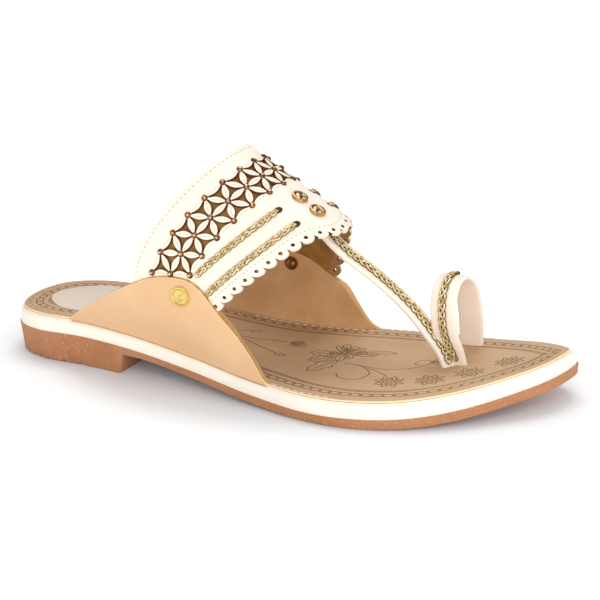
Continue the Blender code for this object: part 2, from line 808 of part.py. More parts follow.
def rivet_profile():
    """Half section of a rivet, from the middle of its disc round to the tip of its inner cap."""
    face = BAND_WALL / 2 + GAP + PLY_WALL + GAP
    return [
        (0.0, face + RIVET_DISC_WALL * 0.75), (RIVET_DISC_RADIUS * 0.72, face + RIVET_DISC_WALL * 0.75),
        (RIVET_DISC_RADIUS * 0.80, face + RIVET_DISC_WALL * 1.25),
        (RIVET_DISC_RADIUS * 0.92, face + RIVET_DISC_WALL * 1.25),
        (RIVET_DISC_RADIUS, face + RIVET_DISC_WALL * 0.6), (RIVET_DISC_RADIUS, face),
        (RIVET_PIN_RADIUS, face), (RIVET_PIN_RADIUS, -face), (RIVET_CAP_RADIUS, -face),
        (RIVET_CAP_RADIUS, -face - RIVET_CAP_RISE * 0.4),
        (RIVET_CAP_RADIUS * 0.7, -face - RIVET_CAP_RISE * 0.85), (0.0, -face - RIVET_CAP_RISE),
    ]


def crystal_profile():
    """Half section of a crystal in its bezel, standing on the band."""
    foot = BAND_WALL / 2 + GAP
    return [
        (0.0, foot + CRYSTAL_RISE), (CRYSTAL_RADIUS * 0.42, foot + CRYSTAL_RISE),
        (CRYSTAL_RADIUS * 0.80, foot + CRYSTAL_RISE * 0.68),
        (CRYSTAL_RADIUS * 0.88, foot + CRYSTAL_RISE * 0.72), (CRYSTAL_RADIUS, foot + CRYSTAL_RISE * 0.45),
        (CRYSTAL_RADIUS, foot), (0.0, foot),
    ]


def cord_sections(points, outs, width, height):
    """Sections of a flat plait: a low dome whose two halves rise in turn along its length."""
    points = spread_evenly(points, max(6, 2 * round(chord_lengths(points)[-1] / CORD_PITCH) + 1))
    outs = unit(spread_evenly(outs, len(points)))
    ahead = unit(np.gradient(points, axis=0))
    aside = unit(np.cross(outs, ahead))
    sections = []
    for k, (point, out, wide) in enumerate(zip(points, outs, aside)):
        end = k in (0, len(points) - 1)
        half = width / 2 * (0.45 if end else 1.0)
        left = height * (0.55 if end else (1.0 if k % 2 else 0.72))
        right = height * (0.55 if end else (0.72 if k % 2 else 1.0))
        sections.append([
            point + wide * half, point + wide * half * 0.5 + out * left,
            point + out * height * 0.5, point - wide * half * 0.5 + out * right, point - wide * half,
        ])
    return sections


def band_cord(name, side, from_edge, length, group, material):
    """A plaited cord that lies along the band on one side of its crown."""
    arcs = np.linspace(CORD_END_GAP, CORD_END_GAP + length, 12) * side
    places = [band_place(arc, from_edge, BAND_WALL / 2 + GAP, from_front=True) for arc in arcs]
    points = np.array([place[0] for place in places])
    outs = np.array([place[1] for place in places])
    return carried_section(name, cord_sections(points, outs, CORD_WIDTH, CORD_HEIGHT), group, material)


def rounded_flat(wide, thick):
    """Corners of a flat section with rounded sides, as shares along its width and its wall."""
    return [
        (-wide, -thick * 0.4), (-wide * 0.82, -thick), (wide * 0.82, -thick), (wide, -thick * 0.4),
        (wide, thick * 0.4), (wide * 0.82, thick), (-wide * 0.82, thick), (-wide, thick * 0.4),
    ]


def strap_line(count=16):
    """Middle line, outward direction, side direction and width of the thong strap."""
    anchor_lift = -(BAND_WALL / 2 + GAP + LINING_WALL + STRAP_SETTLE + STRAP_WALL / 2)
    lead = [
        band_place(STRAP_ANCHOR_ALONG_ARC, STRAP_ANCHOR_FROM_EDGE - step, anchor_lift, True)[0]
        for step in (0.0, STRAP_ANCHOR_STEP)
    ]
    rows = [
        np.array([x_of(row.along), row.across * BALL_WIDTH,
                  insole_top(row.along) + INSTEP_RISE * row.rise])
        for row in STRAP_POINTS
    ]
    rows[-1][2] = midsole_top(STRAP_POINTS[-1].along)
    control = np.array(lead + rows)
    run = chord_lengths(control)
    at = np.linspace(0.0, run[-1], count)
    line = np.stack([smooth(run, control[:, axis], at) for axis in range(3)], axis=1)
    widths = np.array([1.0, 1.0] + [row.width for row in STRAP_POINTS])
    width = np.interp(at, run, widths) * STRAP_WIDTH
    ahead = unit(np.gradient(line, axis=0))
    aside = unit(np.cross(np.array([0.0, 0.0, 1.0]), ahead))
    out = unit(np.cross(ahead, aside))
    return line, out, aside, width


def ribbon_sections(line, out, aside, width, wall):
    """Sections of a ribbon whose ends stand flat on the midsole."""
    sections = []
    for point, up, wide, w in zip(line, out, aside, width):
        corners = rounded_flat(w / 2, wall / 2)
        section = np.array([point + wide * s + up * t for s, t in corners])
        seat = midsole_top(along_of(section[:, 0])) + GAP
        section[:, 2] = np.maximum(section[:, 2], seat)
        sections.append(section)
    return sections


def loop_line(count=26):
    """Middle line, outward direction and width of the toe loop."""
    rows = np.array([
        [x_of(row.along), row.across * BALL_WIDTH, insole_top(row.along) + LOOP_HEIGHT * row.rise]
        for row in LOOP_POINTS
    ])
    for end in (0, -1):
        rows[end, 2] = midsole_top(LOOP_POINTS[end].along)
    run = chord_lengths(rows)
    at = np.linspace(0.0, run[-1], count)
    line = np.stack([smooth(run, rows[:, axis], at) for axis in range(3)], axis=1)
    width = smooth(run, [row.width for row in LOOP_POINTS], at) * LOOP_WIDTH
    ahead = unit(np.gradient(line, axis=0))
    aside = np.array([1.0, 0.0, 0.0]) - ahead * ahead[:, :1]
    aside = unit(aside)
    out = unit(np.cross(aside, ahead))
    return line, -out, aside, width


def build_sole(parts, cutters, materials):
    """Outsole with heel, arch and grooves, midsole, insole and heel sock."""
    rows = 32

    def tapered(along):
        """Inset of the heel's back edge at the floor."""
        return HEEL_TAPER * np.clip(1 - np.asarray(along) / BREAST_ALONG, 0.1, 1.0) ** 0.5

    def outsole_top(along):
        """Height of the outsole's upper face, half a clearance under the colour line."""
        return rand_foot(along) - GAP / 2

    outsole = stacked_sheet(
        "outsole", [ring(tapered, ground, rows), ring(0.0, outsole_top, rows)],
        rows, parts, materials["outsole"])

    breast_x = x_of(BREAST_ALONG)
    ball_x = x_of(BALL_START)
    shank_x = np.linspace(breast_x, ball_x, 9)
    share = np.linspace(0.0, 1.0, 9)
    fade = share**3
    ceiling = outsole_top(along_of(shank_x)) - SHANK_WALL
    ceiling = ceiling * (1 - fade)
    ceiling[0] = HEEL_BREAST_DEPTH
    reach = BALL_WIDTH
    low = -CUT_REACH
    section = [(breast_x, low), *zip(shank_x, np.clip(ceiling, 0.0, None)), (ball_x, low)]
    arch_cutter = as_cutter(carried_section(
        "arch_cutter", [[(x, y, z) for x, z in section] for y in (-reach, reach)], cutters))
    cut(outsole, arch_cutter)

    groove_x = x_of(GROOVE_START)
    groove = as_cutter(block(
        "heel_groove_cutter", (groove_x, -reach, -GROOVE_DEPTH),
        (groove_x + GROOVE_WIDTH, reach, GROOVE_DEPTH), cutters))
    repeat = groove.modifiers.new("repeat", "ARRAY")
    repeat.use_relative_offset = False
    repeat.use_constant_offset = True
    repeat.constant_offset_displace = (GROOVE_PITCH, 0.0, 0.0)
    repeat.count = GROOVE_COUNT
    repeat.merge_threshold = WELD
    cut(outsole, groove)

    def rand_inset(along):
        """The rand stands a little inside the outsole, more so round the toe."""
        return OUTSOLE_LIP * (1 + np.clip((np.asarray(along) - 0.8) / 0.2, 0.0, 1.0))

    def lowered(drop):
        """Height of the midsole's upper face less a drop."""
        return lambda along: midsole_top(along) - drop

    def rounded(share_in):
        """Inset that goes from the rand's side to the insole's edge."""
        return lambda along: rand_inset(along) + (INSOLE_INSET - rand_inset(along)) * share_in

    midsole = stacked_sheet(
        "midsole", [
            ring(rand_inset, lambda along: rand_foot(along) + GAP / 2, rows),
            ring(rand_inset, lowered(RAND_ROUND), rows),
            ring(rounded(0.18), lowered(RAND_ROUND * 0.45), rows),
            ring(rounded(0.55), lowered(RAND_ROUND * 0.10), rows),
            ring(rounded(1.0), lowered(0.0), rows),
        ], rows, parts, materials["rand"])

    insole = stacked_sheet(
        "insole", [
            ring(INSOLE_INSET, lambda along: gold_line(along) - INSOLE_WALL / 2, rows),
            ring(INSOLE_INSET, lambda along: insole_top(along) - INSOLE_WALL * 0.25, rows),
            ring(INSOLE_INSET + INSOLE_WALL * 0.3, insole_top, rows),
        ], rows, parts, materials["insole"])
    return outsole, midsole, insole


def build_sock(parts, materials):
    """The oval pad on the back of the insole."""
    rows = 20
    start = x_of(SOCK_START) + SOCK_INSET
    end = x_of(SOCK_END)
    turn = np.pi * np.arange(2 * rows) / rows
    x = (start + end) / 2 - (end - start) / 2 * np.cos(turn)
    outer = side_y(-1, x, SOCK_INSET)
    inner = side_y(1, x, SOCK_INSET)
    bow = np.abs(np.sin(turn)) ** SOCK_FULLNESS * np.sign(np.sin(turn))
    y = (outer + inner) / 2 - (inner - outer) / 2 * bow
    floor = insole_top(along_of(x)) + GAP
    rings = [np.stack([x, y, floor + lift], axis=1) for lift in (0.0, SOCK_WALL)]
    stacked_sheet("heel_sock", rings, rows, parts, materials["rand"])


def build_upper(parts, cutters, materials):
    """Both wings, the band with its lattice and scallops, and the lining behind it."""
    per_scallop = 3
    u = np.linspace(0.0, 1.0, SCALLOP_COUNT * per_scallop + 1)
    shares = np.array([0.0, 0.5, 1.0])
    grid = band_grid(u, shares, edge_reach(u, True))
    band = offset_sheet("band", grid, 0.0, BAND_WALL, parts, materials["band"])

    plain = np.linspace(0.0, 1.0, 37)
    wide_grid = band_grid(plain, shares, edge_reach(plain, False, GAP), GAP, BAND_TUCK + GAP, 4)
    pocket = as_cutter(offset_sheet("pocket_cutter", wide_grid, 0.0, BAND_WALL + 2 * GAP, cutters))

    lining_front = edge_reach(plain, False, -LINING_FRONT_MARGIN)
    lining_grid = band_grid(plain, shares, lining_front, -LINING_REAR_MARGIN, LINING_TUCK, 2)
    lining_lift = -(BAND_WALL / 2 + GAP + LINING_WALL / 2)
    lining = offset_sheet("band_lining", lining_grid, lining_lift, LINING_WALL, parts, materials["lining"])

    wings = {}
    for side, name in ((-1, "wing_outer"), (1, "wing_inner")):
        wing = wing_solid(name, side, parts, materials["wing"])
        cut(wing, pocket)
        trim = as_cutter(wing_solid(
            "lining_trim_" + name, side, cutters, outward=LINING_WALL, inward=LINING_WALL,
            bottom_drop=GAP, top_lift=GAP, end_reach=GAP))
        cut(lining, trim)
        wings[side] = wing
    cut(band, lattice_cutter(cutters))
    return wings, band, lining


def build_rivets(wings, band, parts, cutters, materials):
    """Rivets through wing and band, with the holes that they pass through."""
    for side, name in ((-1, "rivet_outer"), (1, "rivet_inner")):
        place = rivet_place(side)
        turned(name, rivet_profile(), 16, place, parts, materials["brass"])
        work = bmesh.new()
        bmesh.ops.create_cone(
            work, cap_ends=True, segments=16, radius1=RIVET_PIN_RADIUS + GAP,
            radius2=RIVET_PIN_RADIUS + GAP, depth=0.5 * CUT_REACH, matrix=place)
        mesh = bpy.data.meshes.new(name + "_hole")
        work.to_mesh(mesh)
        work.free()
        hole = bpy.data.objects.new(name + "_hole", mesh)
        cutters.objects.link(hole)
        as_cutter(hole)
        cut(wings[side], hole)
        cut(band, hole)


def slot_cutter(name, sections, cutters):
    """A box round the stretch of a ribbon that lies within the insole."""
    points = np.concatenate(sections)
    inside = points[points[:, 2] < insole_top(along_of(points[:, 0])) + GAP]
    low = inside.min(axis=0) - SLOT_GAP
    high = inside.max(axis=0) + SLOT_GAP
    low[2] -= GAP
    high[2] += INSOLE_WALL
    return as_cutter(block(name, low, high, cutters))


def build_straps(insole, parts, cutters, materials):
    """Thong strap and toe loop, which end in slots of the insole, and the cords on them."""
    carried_section("thong_strap", ribbon_sections(*strap_line(), STRAP_WALL), parts, materials["band"])
    carried_section("toe_loop", ribbon_sections(*loop_line(), LOOP_WALL), parts, materials["band"])
    fine = 240
    strap = ribbon_sections(*strap_line(fine), STRAP_WALL)
    loop = ribbon_sections(*loop_line(fine), LOOP_WALL)
    for name, sections in (("strap_slot", strap), ("loop_near_slot", loop[:fine // 2]),
                           ("loop_far_slot", loop[fine // 2:])):
        cut(insole, slot_cutter(name, sections, cutters))

    line, out, _, _ = strap_line()
    seat = STRAP_WALL / 2 + GAP
    cord = cord_sections((line + out * seat)[4:-1], out[4:-1], CORD_WIDTH, CORD_HEIGHT)
    carried_section("cord_strap", cord, parts, materials["gold"])
    line, out, _, _ = loop_line()
    seat = LOOP_WALL / 2 + GAP
    cord = cord_sections((line + out * seat)[2:15], out[2:15], CORD_WIDTH, CORD_HEIGHT)
    carried_section("cord_loop", cord, parts, materials["gold"])


def build_trim(parts, materials):
    """Cords on the band and the two crystals on its crown."""
    for side, side_name in ((-1, "outer"), (1, "inner")):
        for edge_name, from_edge, length in (
                ("rear", CORD_REAR_FROM_EDGE, CORD_REAR_LENGTH),
                ("front", CORD_FRONT_FROM_EDGE, CORD_FRONT_LENGTH)):
            band_cord(f"cord_{side_name}_{edge_name}", side, from_edge, length, parts, materials["gold"])
    for name, from_edge in (("crystal_rear", CRYSTAL_REAR_FROM_EDGE),
                            ("crystal_front", CRYSTAL_FRONT_FROM_EDGE)):
        point, out = band_place(0.0, from_edge, 0.0, True)
        turn = Vector(out).to_track_quat("Z", "Y").to_matrix().to_4x4()
        place = Matrix.Translation(point) @ turn
        turned(name, crystal_profile(), 12, place, parts, materials["crystal"])


def build_insole_notches(insole, cutters):
    """Notches along the insole's edge, where the wings stand on the midsole."""
    for side, name in ((-1, "outer"), (1, "inner")):
        x = wing_columns(side, GAP)
        low = midsole_top(along_of(x))
        high = insole_top(along_of(x)) + INSOLE_WALL
        half = wing_walls(side, x, high) * 1.1 + GAP
        low_y = wing_y(side, x, low) - side * half
        high_y = wing_y(side, x, high) - side * half
        far_y = side_y(side, x, 0.0) + side * WING_WALL
        sections = [
            [(a, b, c), (a, d, c), (a, d, e), (a, f, e)]
            for a, b, c, d, e, f in zip(x, low_y, low, far_y, high, high_y)
        ]
        notch = carried_section("insole_notch_" + name, sections, cutters)
        cut(insole, as_cutter(notch))


def main():
    """Clear the scene and build the shoe."""
    for item in list(bpy.data.objects):
        bpy.data.objects.remove(item, do_unlink=True)
    parts = new_collection("toe_loop_sandal")
    cutters = new_collection("cutters")
    materials = {
        "outsole": make_material("brown_rubber", BROWN, 0.65),
        "rand": make_material("cream_rand", CREAM, 0.45),
        "insole": make_material("taupe_leather", TAUPE, 0.55),
        "wing": make_material("tan_leather", TAN, 0.55),
        "band": make_material("cream_leather", CREAM, 0.5),
        "lining": make_material("golden_brown_leather", (0.42, 0.24, 0.09), 0.6),
        "gold": make_material("gold_cord", GOLD, 0.35, 0.8),
        "brass": make_material("brass", (0.66, 0.45, 0.16), 0.3, 1.0),
        "crystal": make_material("amber_crystal", (0.75, 0.42, 0.15), 0.1, 0.3),
    }
    _, _, insole = build_sole(parts, cutters, materials)
    build_sock(parts, materials)
    wings, band, _ = build_upper(parts, cutters, materials)
    build_rivets(wings, band, parts, cutters, materials)
    build_insole_notches(insole, cutters)
    build_straps(insole, parts, cutters, materials)
    build_trim(parts, materials)


main()
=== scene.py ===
"""Looks of the flat toe-loop sandal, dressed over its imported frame.

Lengths are metres in the frame's own axes: +X from heel to toe, +Y to the inner side, +Z up.
A place along the shoe is a share of the sole's length, 0 at the back of the heel and 1 at the toe.
"""

import logging
from dataclasses import dataclass, field
from enum import Enum
from functools import cached_property, lru_cache
from typing import Any, Callable, Iterable, Sequence

import bmesh
import bpy
import numpy as np
from mathutils import Matrix, Vector
from mathutils.geometry import delaunay_2d_cdt


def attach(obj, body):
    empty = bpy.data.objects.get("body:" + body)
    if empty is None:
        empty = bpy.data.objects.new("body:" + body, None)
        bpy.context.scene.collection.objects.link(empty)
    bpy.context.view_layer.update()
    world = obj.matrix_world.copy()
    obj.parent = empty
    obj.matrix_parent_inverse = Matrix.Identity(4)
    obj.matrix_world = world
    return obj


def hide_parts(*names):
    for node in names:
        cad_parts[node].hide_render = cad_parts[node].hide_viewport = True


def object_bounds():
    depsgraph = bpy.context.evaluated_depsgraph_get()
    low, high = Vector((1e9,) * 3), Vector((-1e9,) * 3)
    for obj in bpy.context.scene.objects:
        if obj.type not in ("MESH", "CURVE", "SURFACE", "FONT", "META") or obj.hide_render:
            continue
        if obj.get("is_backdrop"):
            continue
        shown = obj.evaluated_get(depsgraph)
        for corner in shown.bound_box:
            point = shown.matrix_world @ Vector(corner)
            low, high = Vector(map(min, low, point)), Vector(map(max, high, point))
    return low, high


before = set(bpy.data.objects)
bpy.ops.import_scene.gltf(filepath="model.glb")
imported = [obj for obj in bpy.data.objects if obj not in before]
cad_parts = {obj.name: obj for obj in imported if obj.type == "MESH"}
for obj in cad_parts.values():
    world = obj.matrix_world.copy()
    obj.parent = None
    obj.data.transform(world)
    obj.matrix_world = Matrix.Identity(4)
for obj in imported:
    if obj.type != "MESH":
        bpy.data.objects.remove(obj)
CAD_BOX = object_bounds()

LOG = logging.getLogger("sandal")
Array = np.ndarray
Row = tuple[float, ...]
# Clearance between neighbouring pieces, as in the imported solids.
GAP = 0.0003
UP = np.array([0.0, 0.0, 1.0])
TURN = 2 * np.pi
# Millimetres in a metre, for tables that are easier to read in millimetres.
MM = 1000


class Side(Enum):
    """The outer and the inner side of the foot, as signs on the Y axis."""

    OUTER = -1
    INNER = 1

    @property
    def word(self) -> str:
        """The side's name in the names of pieces."""
        return self.name.lower()


def hermite(shares: Sequence[float], values: Sequence[float], at: Array) -> Array:
    """Read a smooth curve through a table's values.

    The curve is a cubic between neighbours, with the table's own slopes.

    Args:
        shares: places of the table's rows, rising.
        values: values at those places.
        at: places to read.

    Returns:
        The curve's values at the places.
    """
    x = np.asarray(shares, float)
    y = np.asarray(values, float)
    slope = np.gradient(y, x)
    at = np.clip(np.asarray(at, float), x[0], x[-1])
    k = np.clip(np.searchsorted(x, at, side="right") - 1, 0, len(x) - 2)
    step = x[k + 1] - x[k]
    t = (at - x[k]) / step
    start = (1 + 2 * t) * (1 - t) ** 2 * y[k] + t * (1 - t) ** 2 * step * slope[k]
    return start + t**2 * (3 - 2 * t) * y[k + 1] - t**2 * (1 - t) * step * slope[k + 1]


def unit(vectors: Array) -> Array:
    """Scale each vector to a length of one."""
    return vectors / np.maximum(np.linalg.norm(vectors, axis=-1, keepdims=True), 1e-12)


def chords(points: Array) -> Array:
    """Running length along a line of points."""
    steps = np.linalg.norm(np.diff(points, axis=0), axis=1)
    return np.concatenate([[0.0], np.cumsum(steps)])


def read_rows(at: Array, places: Array, rows: Array) -> Array:
    """Read rows of coordinates between the places where they stand, by straight lines."""
    return np.stack([np.interp(at, places, axis) for axis in rows.T], axis=-1)


def read_line(points: Array, at: Array) -> Array:
    """Read a line of points at shares of its length.

    Args:
        points: the line, n by 2 or 3.
        at: shares from 0 to 1.

    Returns:
        The points at those shares.
    """
    run = chords(points)
    return read_rows(np.asarray(at) * run[-1], run, points)


def even_count(points: Array, spacing: float) -> Array:
    """Read a line again at about even spacing.

    Args:
        points: the line, n by 2 or 3.
        spacing: the wanted distance between points.

    Returns:
        The points of the line at that spacing.
    """
    count = max(3, int(round(chords(points)[-1] / spacing)) + 1)
    return read_line(points, np.linspace(0.0, 1.0, count))


def smooth_line(points: Array, count: int) -> tuple[Array, Array, Array]:
    """Carry a smooth curve through points.

    Args:
        points: n by 2 or 3.
        count: number of places to read, even along the chords.

    Returns:
        The running lengths of the points and of the places, and the curve at the places.
    """
    run = chords(points)
    at = np.linspace(0.0, run[-1], count)
    return run, at, np.stack([hermite(run, axis, at) for axis in points.T], axis=1)


def ramp(value: Array, start: float | Array, span: float) -> Array:
    """Rise from 0 at a start to 1 a span later, with the ends held."""
    return np.clip((value - start) / span, 0.0, 1.0)


def squared(wave: Array, power: float) -> Array:
    """Raise a sine or a cosine to a power and keep its sign, which squares a circle."""
    return np.sign(wave) * np.abs(wave) ** power


def angles(count: int, closed: bool = False) -> Array:
    """Even angles round a full turn; a closed set ends where it started."""
    return np.linspace(0.0, TURN, count, endpoint=closed)


def left_of(ahead: Array) -> Array:
    """Turn directions in plan a quarter to the left."""
    return np.stack([-ahead[..., 1], ahead[..., 0]], axis=-1)


def headings(loop: Array) -> Array:
    """Direction of a closed line at each of its points."""
    return unit(np.roll(loop, -1, axis=0) - np.roll(loop, 1, axis=0))


def oval(centre: Array, ahead: Array, long: float, wide: float, count: int) -> Array:
    """A closed ellipse in plan: a cosine of the turn ahead and a sine aside.

    Args:
        centre: its centre.
        ahead: direction of its long axis.
        long: half its length.
        wide: half its width.
        count: number of points, the last on the first.

    Returns:
        The line.
    """
    turn = angles(count, True)
    return centre + np.outer(np.cos(turn) * long, ahead) + np.outer(np.sin(turn) * wide, left_of(ahead))


def moved_to(place: Matrix, points: Array) -> Array:
    """Carry points from a piece's own axes into the frame."""
    return points @ np.array(place.to_3x3()).T + np.array(place.translation)


@dataclass
class Form:
    """Points and faces of one piece, with the number of the finish that each face wears."""

    points: Array
    faces: list[tuple[int, ...]]
    worn: Array


def joined(forms: Iterable[Form]) -> Form:
    """Join many forms in one pass.

    Args:
        forms: the forms, in order.

    Returns:
        One form that holds them all.
    """
    points: list[Array] = []
    faces: list[tuple[int, ...]] = []
    worn: list[Array] = []
    base = 0
    for form in forms:
        points.append(form.points)
        faces += [tuple(base + k for k in face) for face in form.faces]
        worn.append(form.worn)
        base += len(form.points)
    return Form(np.vstack(points), faces, np.concatenate(worn))


def tube(sections: Array, capped: bool = True, worn: Array | None = None) -> Form:
    """A closed surface through sections of the same number of points.

    A point of it is a function of the section's number and of the place round the section.

    Args:
        sections: n sections by m points by 3.
        capped: whether the first and last section are closed by a face.
        worn: finish number for each of the m strips round the section.

    Returns:
        The surface, whose faces still need to be turned outwards.
    """
    n, m = sections.shape[:2]
    i, j = np.meshgrid(np.arange(n - 1), np.arange(m), indexing="ij")
    a = i * m + j
    b = i * m + (j + 1) % m
    quads = np.stack([a, b, b + m, a + m], axis=-1).reshape(-1, 4)
    strip = np.zeros(m, int) if worn is None else worn
    slots = np.broadcast_to(strip, (n - 1, m)).reshape(-1)
    faces = [tuple(face) for face in quads.tolist()]
    if capped:
        faces += [tuple(range(m))[::-1], tuple(range((n - 1) * m, n * m))]
        slots = np.concatenate([slots, [strip[0], strip[0]]])
    return Form(sections.reshape(-1, 3), faces, slots)


def stack_of_rings(rings: Array, worn: Sequence[int]) -> Form:
    """A plate through rings round the sole, closed below and above by strips across.

    Args:
        rings: levels by points by 3; each ring runs up the outer side and back down the inner.
        worn: finish number of the bottom, of each band between rings, and of the top.

    Returns:
        The closed plate.
    """
    levels, count = rings.shape[:2]
    body = tube(rings, capped=False)
    slots = np.repeat(np.asarray(worn[1:-1]), count)
    half = count // 2
    faces = list(body.faces)
    extra: list[int] = []
    for base, number in ((0, worn[0]), ((levels - 1) * count, worn[-1])):
        for k in range(half):
            corners = [base + k, base + k + 1, base + (count - k - 1) % count, base + (count - k) % count]
            faces.append(tuple(dict.fromkeys(corners)))
            extra.append(number)
    return Form(body.points, faces, np.concatenate([slots, extra]))


def ribbon(line: Array, out: Array, width: float, lift: float) -> Form:
    """A thin flat ribbon that lies along a line, a little domed across.

    Args:
        line: middle line, n by 3.
        out: direction away from what it lies on, n by 3.
        width: width of the ribbon.
        lift: height of its middle over the line.

    Returns:
        The closed ribbon.
    """
    aside = unit(np.cross(out, np.gradient(line, axis=0))) * width / 2
    sections = np.stack([line - aside, line + out * lift, line + aside, line - out * lift], axis=1)
    return tube(sections)


def turned(profile: Sequence[tuple[float, float]], steps: int, place: Matrix,
           worn: Sequence[int] | None = None) -> Form:
    """A turned piece: radius and height of a profile, carried round its own axis.

    Args:
        profile: rows of radius and height; the first and last lie on the axis.
        steps: number of steps in the turn.
        place: matrix from the profile's own axes to the frame.
        worn: finish number of each stretch of the profile.

    Returns:
        The closed piece.
    """
    rows = np.array(profile[1:-1], float)
    angle = angles(steps)
    ring = np.stack([np.cos(angle), np.sin(angle)], axis=1)
    heights = np.broadcast_to(rows[:, None, 1:], (len(rows), steps, 1))
    shell = tube(np.concatenate([rows[:, None, :1] * ring, heights], axis=2), capped=False)
    ends = np.array([[0.0, 0.0, profile[0][1]], [0.0, 0.0, profile[-1][1]]])
    points = np.vstack([shell.points, ends])
    top = len(shell.points)
    last = (len(rows) - 1) * steps
    fans = [(k, (k + 1) % steps, top) for k in range(steps)]
    fans += [(last + (k + 1) % steps, last + k, top + 1) for k in range(steps)]
    numbers = np.zeros(len(profile) - 1, int) if worn is None else np.asarray(worn)
    slots = np.concatenate([np.repeat(numbers[1:-1], steps), np.full(steps, numbers[0]),
                            np.full(steps, numbers[-1])])
    return Form(moved_to(place, points), shell.faces + fans, slots)


class Value:
    """A shader socket whose Python operators add Math nodes."""

    def __init__(self, graph: "Graph", socket: bpy.types.NodeSocket) -> None:
        """Keep the socket and the graph it stands in."""
        self.graph = graph
        self.socket = socket

    def __add__(self, other: "Value | float") -> "Value":
        """Sum of two values."""
        return self.graph.maths("ADD", self, other)

    __radd__ = __add__

    def __sub__(self, other: "Value | float") -> "Value":
        """This value less another."""
        return self.graph.maths("SUBTRACT", self, other)

    def __rsub__(self, other: float) -> "Value":
        """A number less this value."""
        return self.graph.maths("SUBTRACT", other, self)

    def __mul__(self, other: "Value | float") -> "Value":
        """Product of two values."""
        return self.graph.maths("MULTIPLY", self, other)

    __rmul__ = __mul__

    def sine(self) -> "Value":
        """Sine of this value."""
        return self.graph.maths("SINE", self)


class Graph:
    """A material's nodes: a Principled shader and whatever feeds it."""

    def __init__(self, name: str) -> None:
        """Start a material with a bare Principled shader.

        Args:
            name: the material's name.
        """
        self.material = bpy.data.materials.new(name)
        self.material.use_nodes = True
        self.tree = self.material.node_tree
        self.shader = self.tree.nodes["Principled BSDF"]

    def node(self, kind: str, inputs: dict[Any, Any], out: Any = 0, **settings: Any) -> Value:
        """Add a node, with its settings first and then its sockets.

        Args:
            kind: the node's type.
            inputs: a value or a Value for each socket, by name or number.
            out: name or number of the output to return.
            settings: the node's own settings.

        Returns:
            The chosen output.
        """
        made = self.tree.nodes.new(kind)
        for key, value in settings.items():
            setattr(made, key, value)
        for key, value in inputs.items():
            self.feed(made.inputs[key], value)
        return Value(self, made.outputs[out])

    def feed(self, socket: bpy.types.NodeSocket, value: Any) -> None:
        """Link a Value to a socket, or set the socket's own value.

        Args:
            socket: the socket.
            value: a Value, a number, a linear colour or a colour's six hex digits.
        """
        if isinstance(value, Value):
            self.tree.links.new(value.socket, socket)
        else:
            socket.default_value = paint(value) if isinstance(value, str) else value

    def maths(self, operation: str, *values: "Value | float") -> Value:
        """A Math node on one or two values."""
        return self.node("ShaderNodeMath", dict(enumerate(values)), operation=operation)

    def place(self) -> Value:
        """Object coordinates, which are the frame's own metres."""
        return self.node("ShaderNodeTexCoord", {}, "Object")

    def noise(self, grain: float, detail: float = 2.0) -> Value:
        """Noise from 0 to 1 whose patches are about a grain's length across."""
        return self.node("ShaderNodeTexNoise", {
            "Vector": self.place(), "Scale": 1 / grain, "Detail": detail, "Roughness": 0.55})

    def cells(self, grain: float, out: str = "Distance") -> Value:
        """Cells about a grain's length across."""
        return self.node("ShaderNodeTexVoronoi", {"Vector": self.place(), "Scale": 1 / grain}, out)

    def mix(self, share: "Value | float", first: Any, second: Any) -> Value:
        """Mix two colours by a share."""
        return self.node("ShaderNodeMix", {0: share, 6: first, 7: second}, 2, data_type="RGBA")

    def band(self, value: Value, low: float, high: float) -> Value:
        """Spread the stretch from low to high over 0 to 1, and hold the ends."""
        return self.node("ShaderNodeMapRange", {"Value": value, "From Min": low, "From Max": high})

    def relief(self, height: Value, depth: float, strength: float) -> Value:
        """Bump from a height that is depth metres tall."""
        return self.node("ShaderNodeBump", {"Height": height, "Distance": depth, "Strength": strength})

    def dress(self, **inputs: Any) -> bpy.types.Material:
        """Feed the shader, with _ for the spaces in its sockets' names, and return the material.

        Args:
            inputs: a value for each socket, by its name.

        Returns:
            The finished material.
        """
        for key, value in inputs.items():
            self.feed(self.shader.inputs[key.replace("_", " ")], value)
        return self.material


def paint(code: str) -> tuple[float, float, float, float]:
    """Turn a colour written as six hex digits into the shader's linear colour.

    Args:
        code: the colour, such as FFEEDD.

    Returns:
        Red, green, blue and alpha, from 0 to 1.
    """
    parts = np.array([int(code[k:k + 2], 16) for k in (0, 2, 4)]) / 255
    linear = np.where(parts <= 0.04045, parts / 12.92, ((parts + 0.055) / 1.055) ** 2.4)
    return (*linear.tolist(), 1.0)


@dataclass(frozen=True)
class Leather:
    """Smooth leather: a soft mottle, a fine pebble grain and a few pores."""

    name: str
    colour: str
    shade: str
    roughness: float = 0.5
    grain: float = 0.0007
    relief: float = 0.00006
    mottle: float = 0.5
    coat: float = 0.0
    patch: float = 0.022
    pore_spacing: float = 2.2
    pore_tone: float = 0.10
    rough_spread: float = 0.10
    specular: float = 0.35

    def material(self) -> bpy.types.Material:
        """Build the material.

        Returns:
            The finished material.
        """
        graph = Graph(self.name)
        patches = graph.band(graph.noise(self.patch, detail=4.0), low=0.38, high=0.70)
        pores = graph.band(graph.cells(self.grain * self.pore_spacing), low=0.0, high=0.16)
        tone = graph.mix(patches * self.mottle, self.colour, self.shade)
        tone = graph.mix((1 - pores) * self.pore_tone, tone, self.shade)
        pebbles = graph.cells(self.grain) * 0.7 + graph.noise(self.grain * 0.6) * 0.5
        return graph.dress(
            Base_Color=tone, Roughness=self.roughness + patches * self.rough_spread,
            Normal=graph.relief(pebbles, self.relief, strength=0.6), Coat_Weight=self.coat,
            Specular_IOR_Level=self.specular)


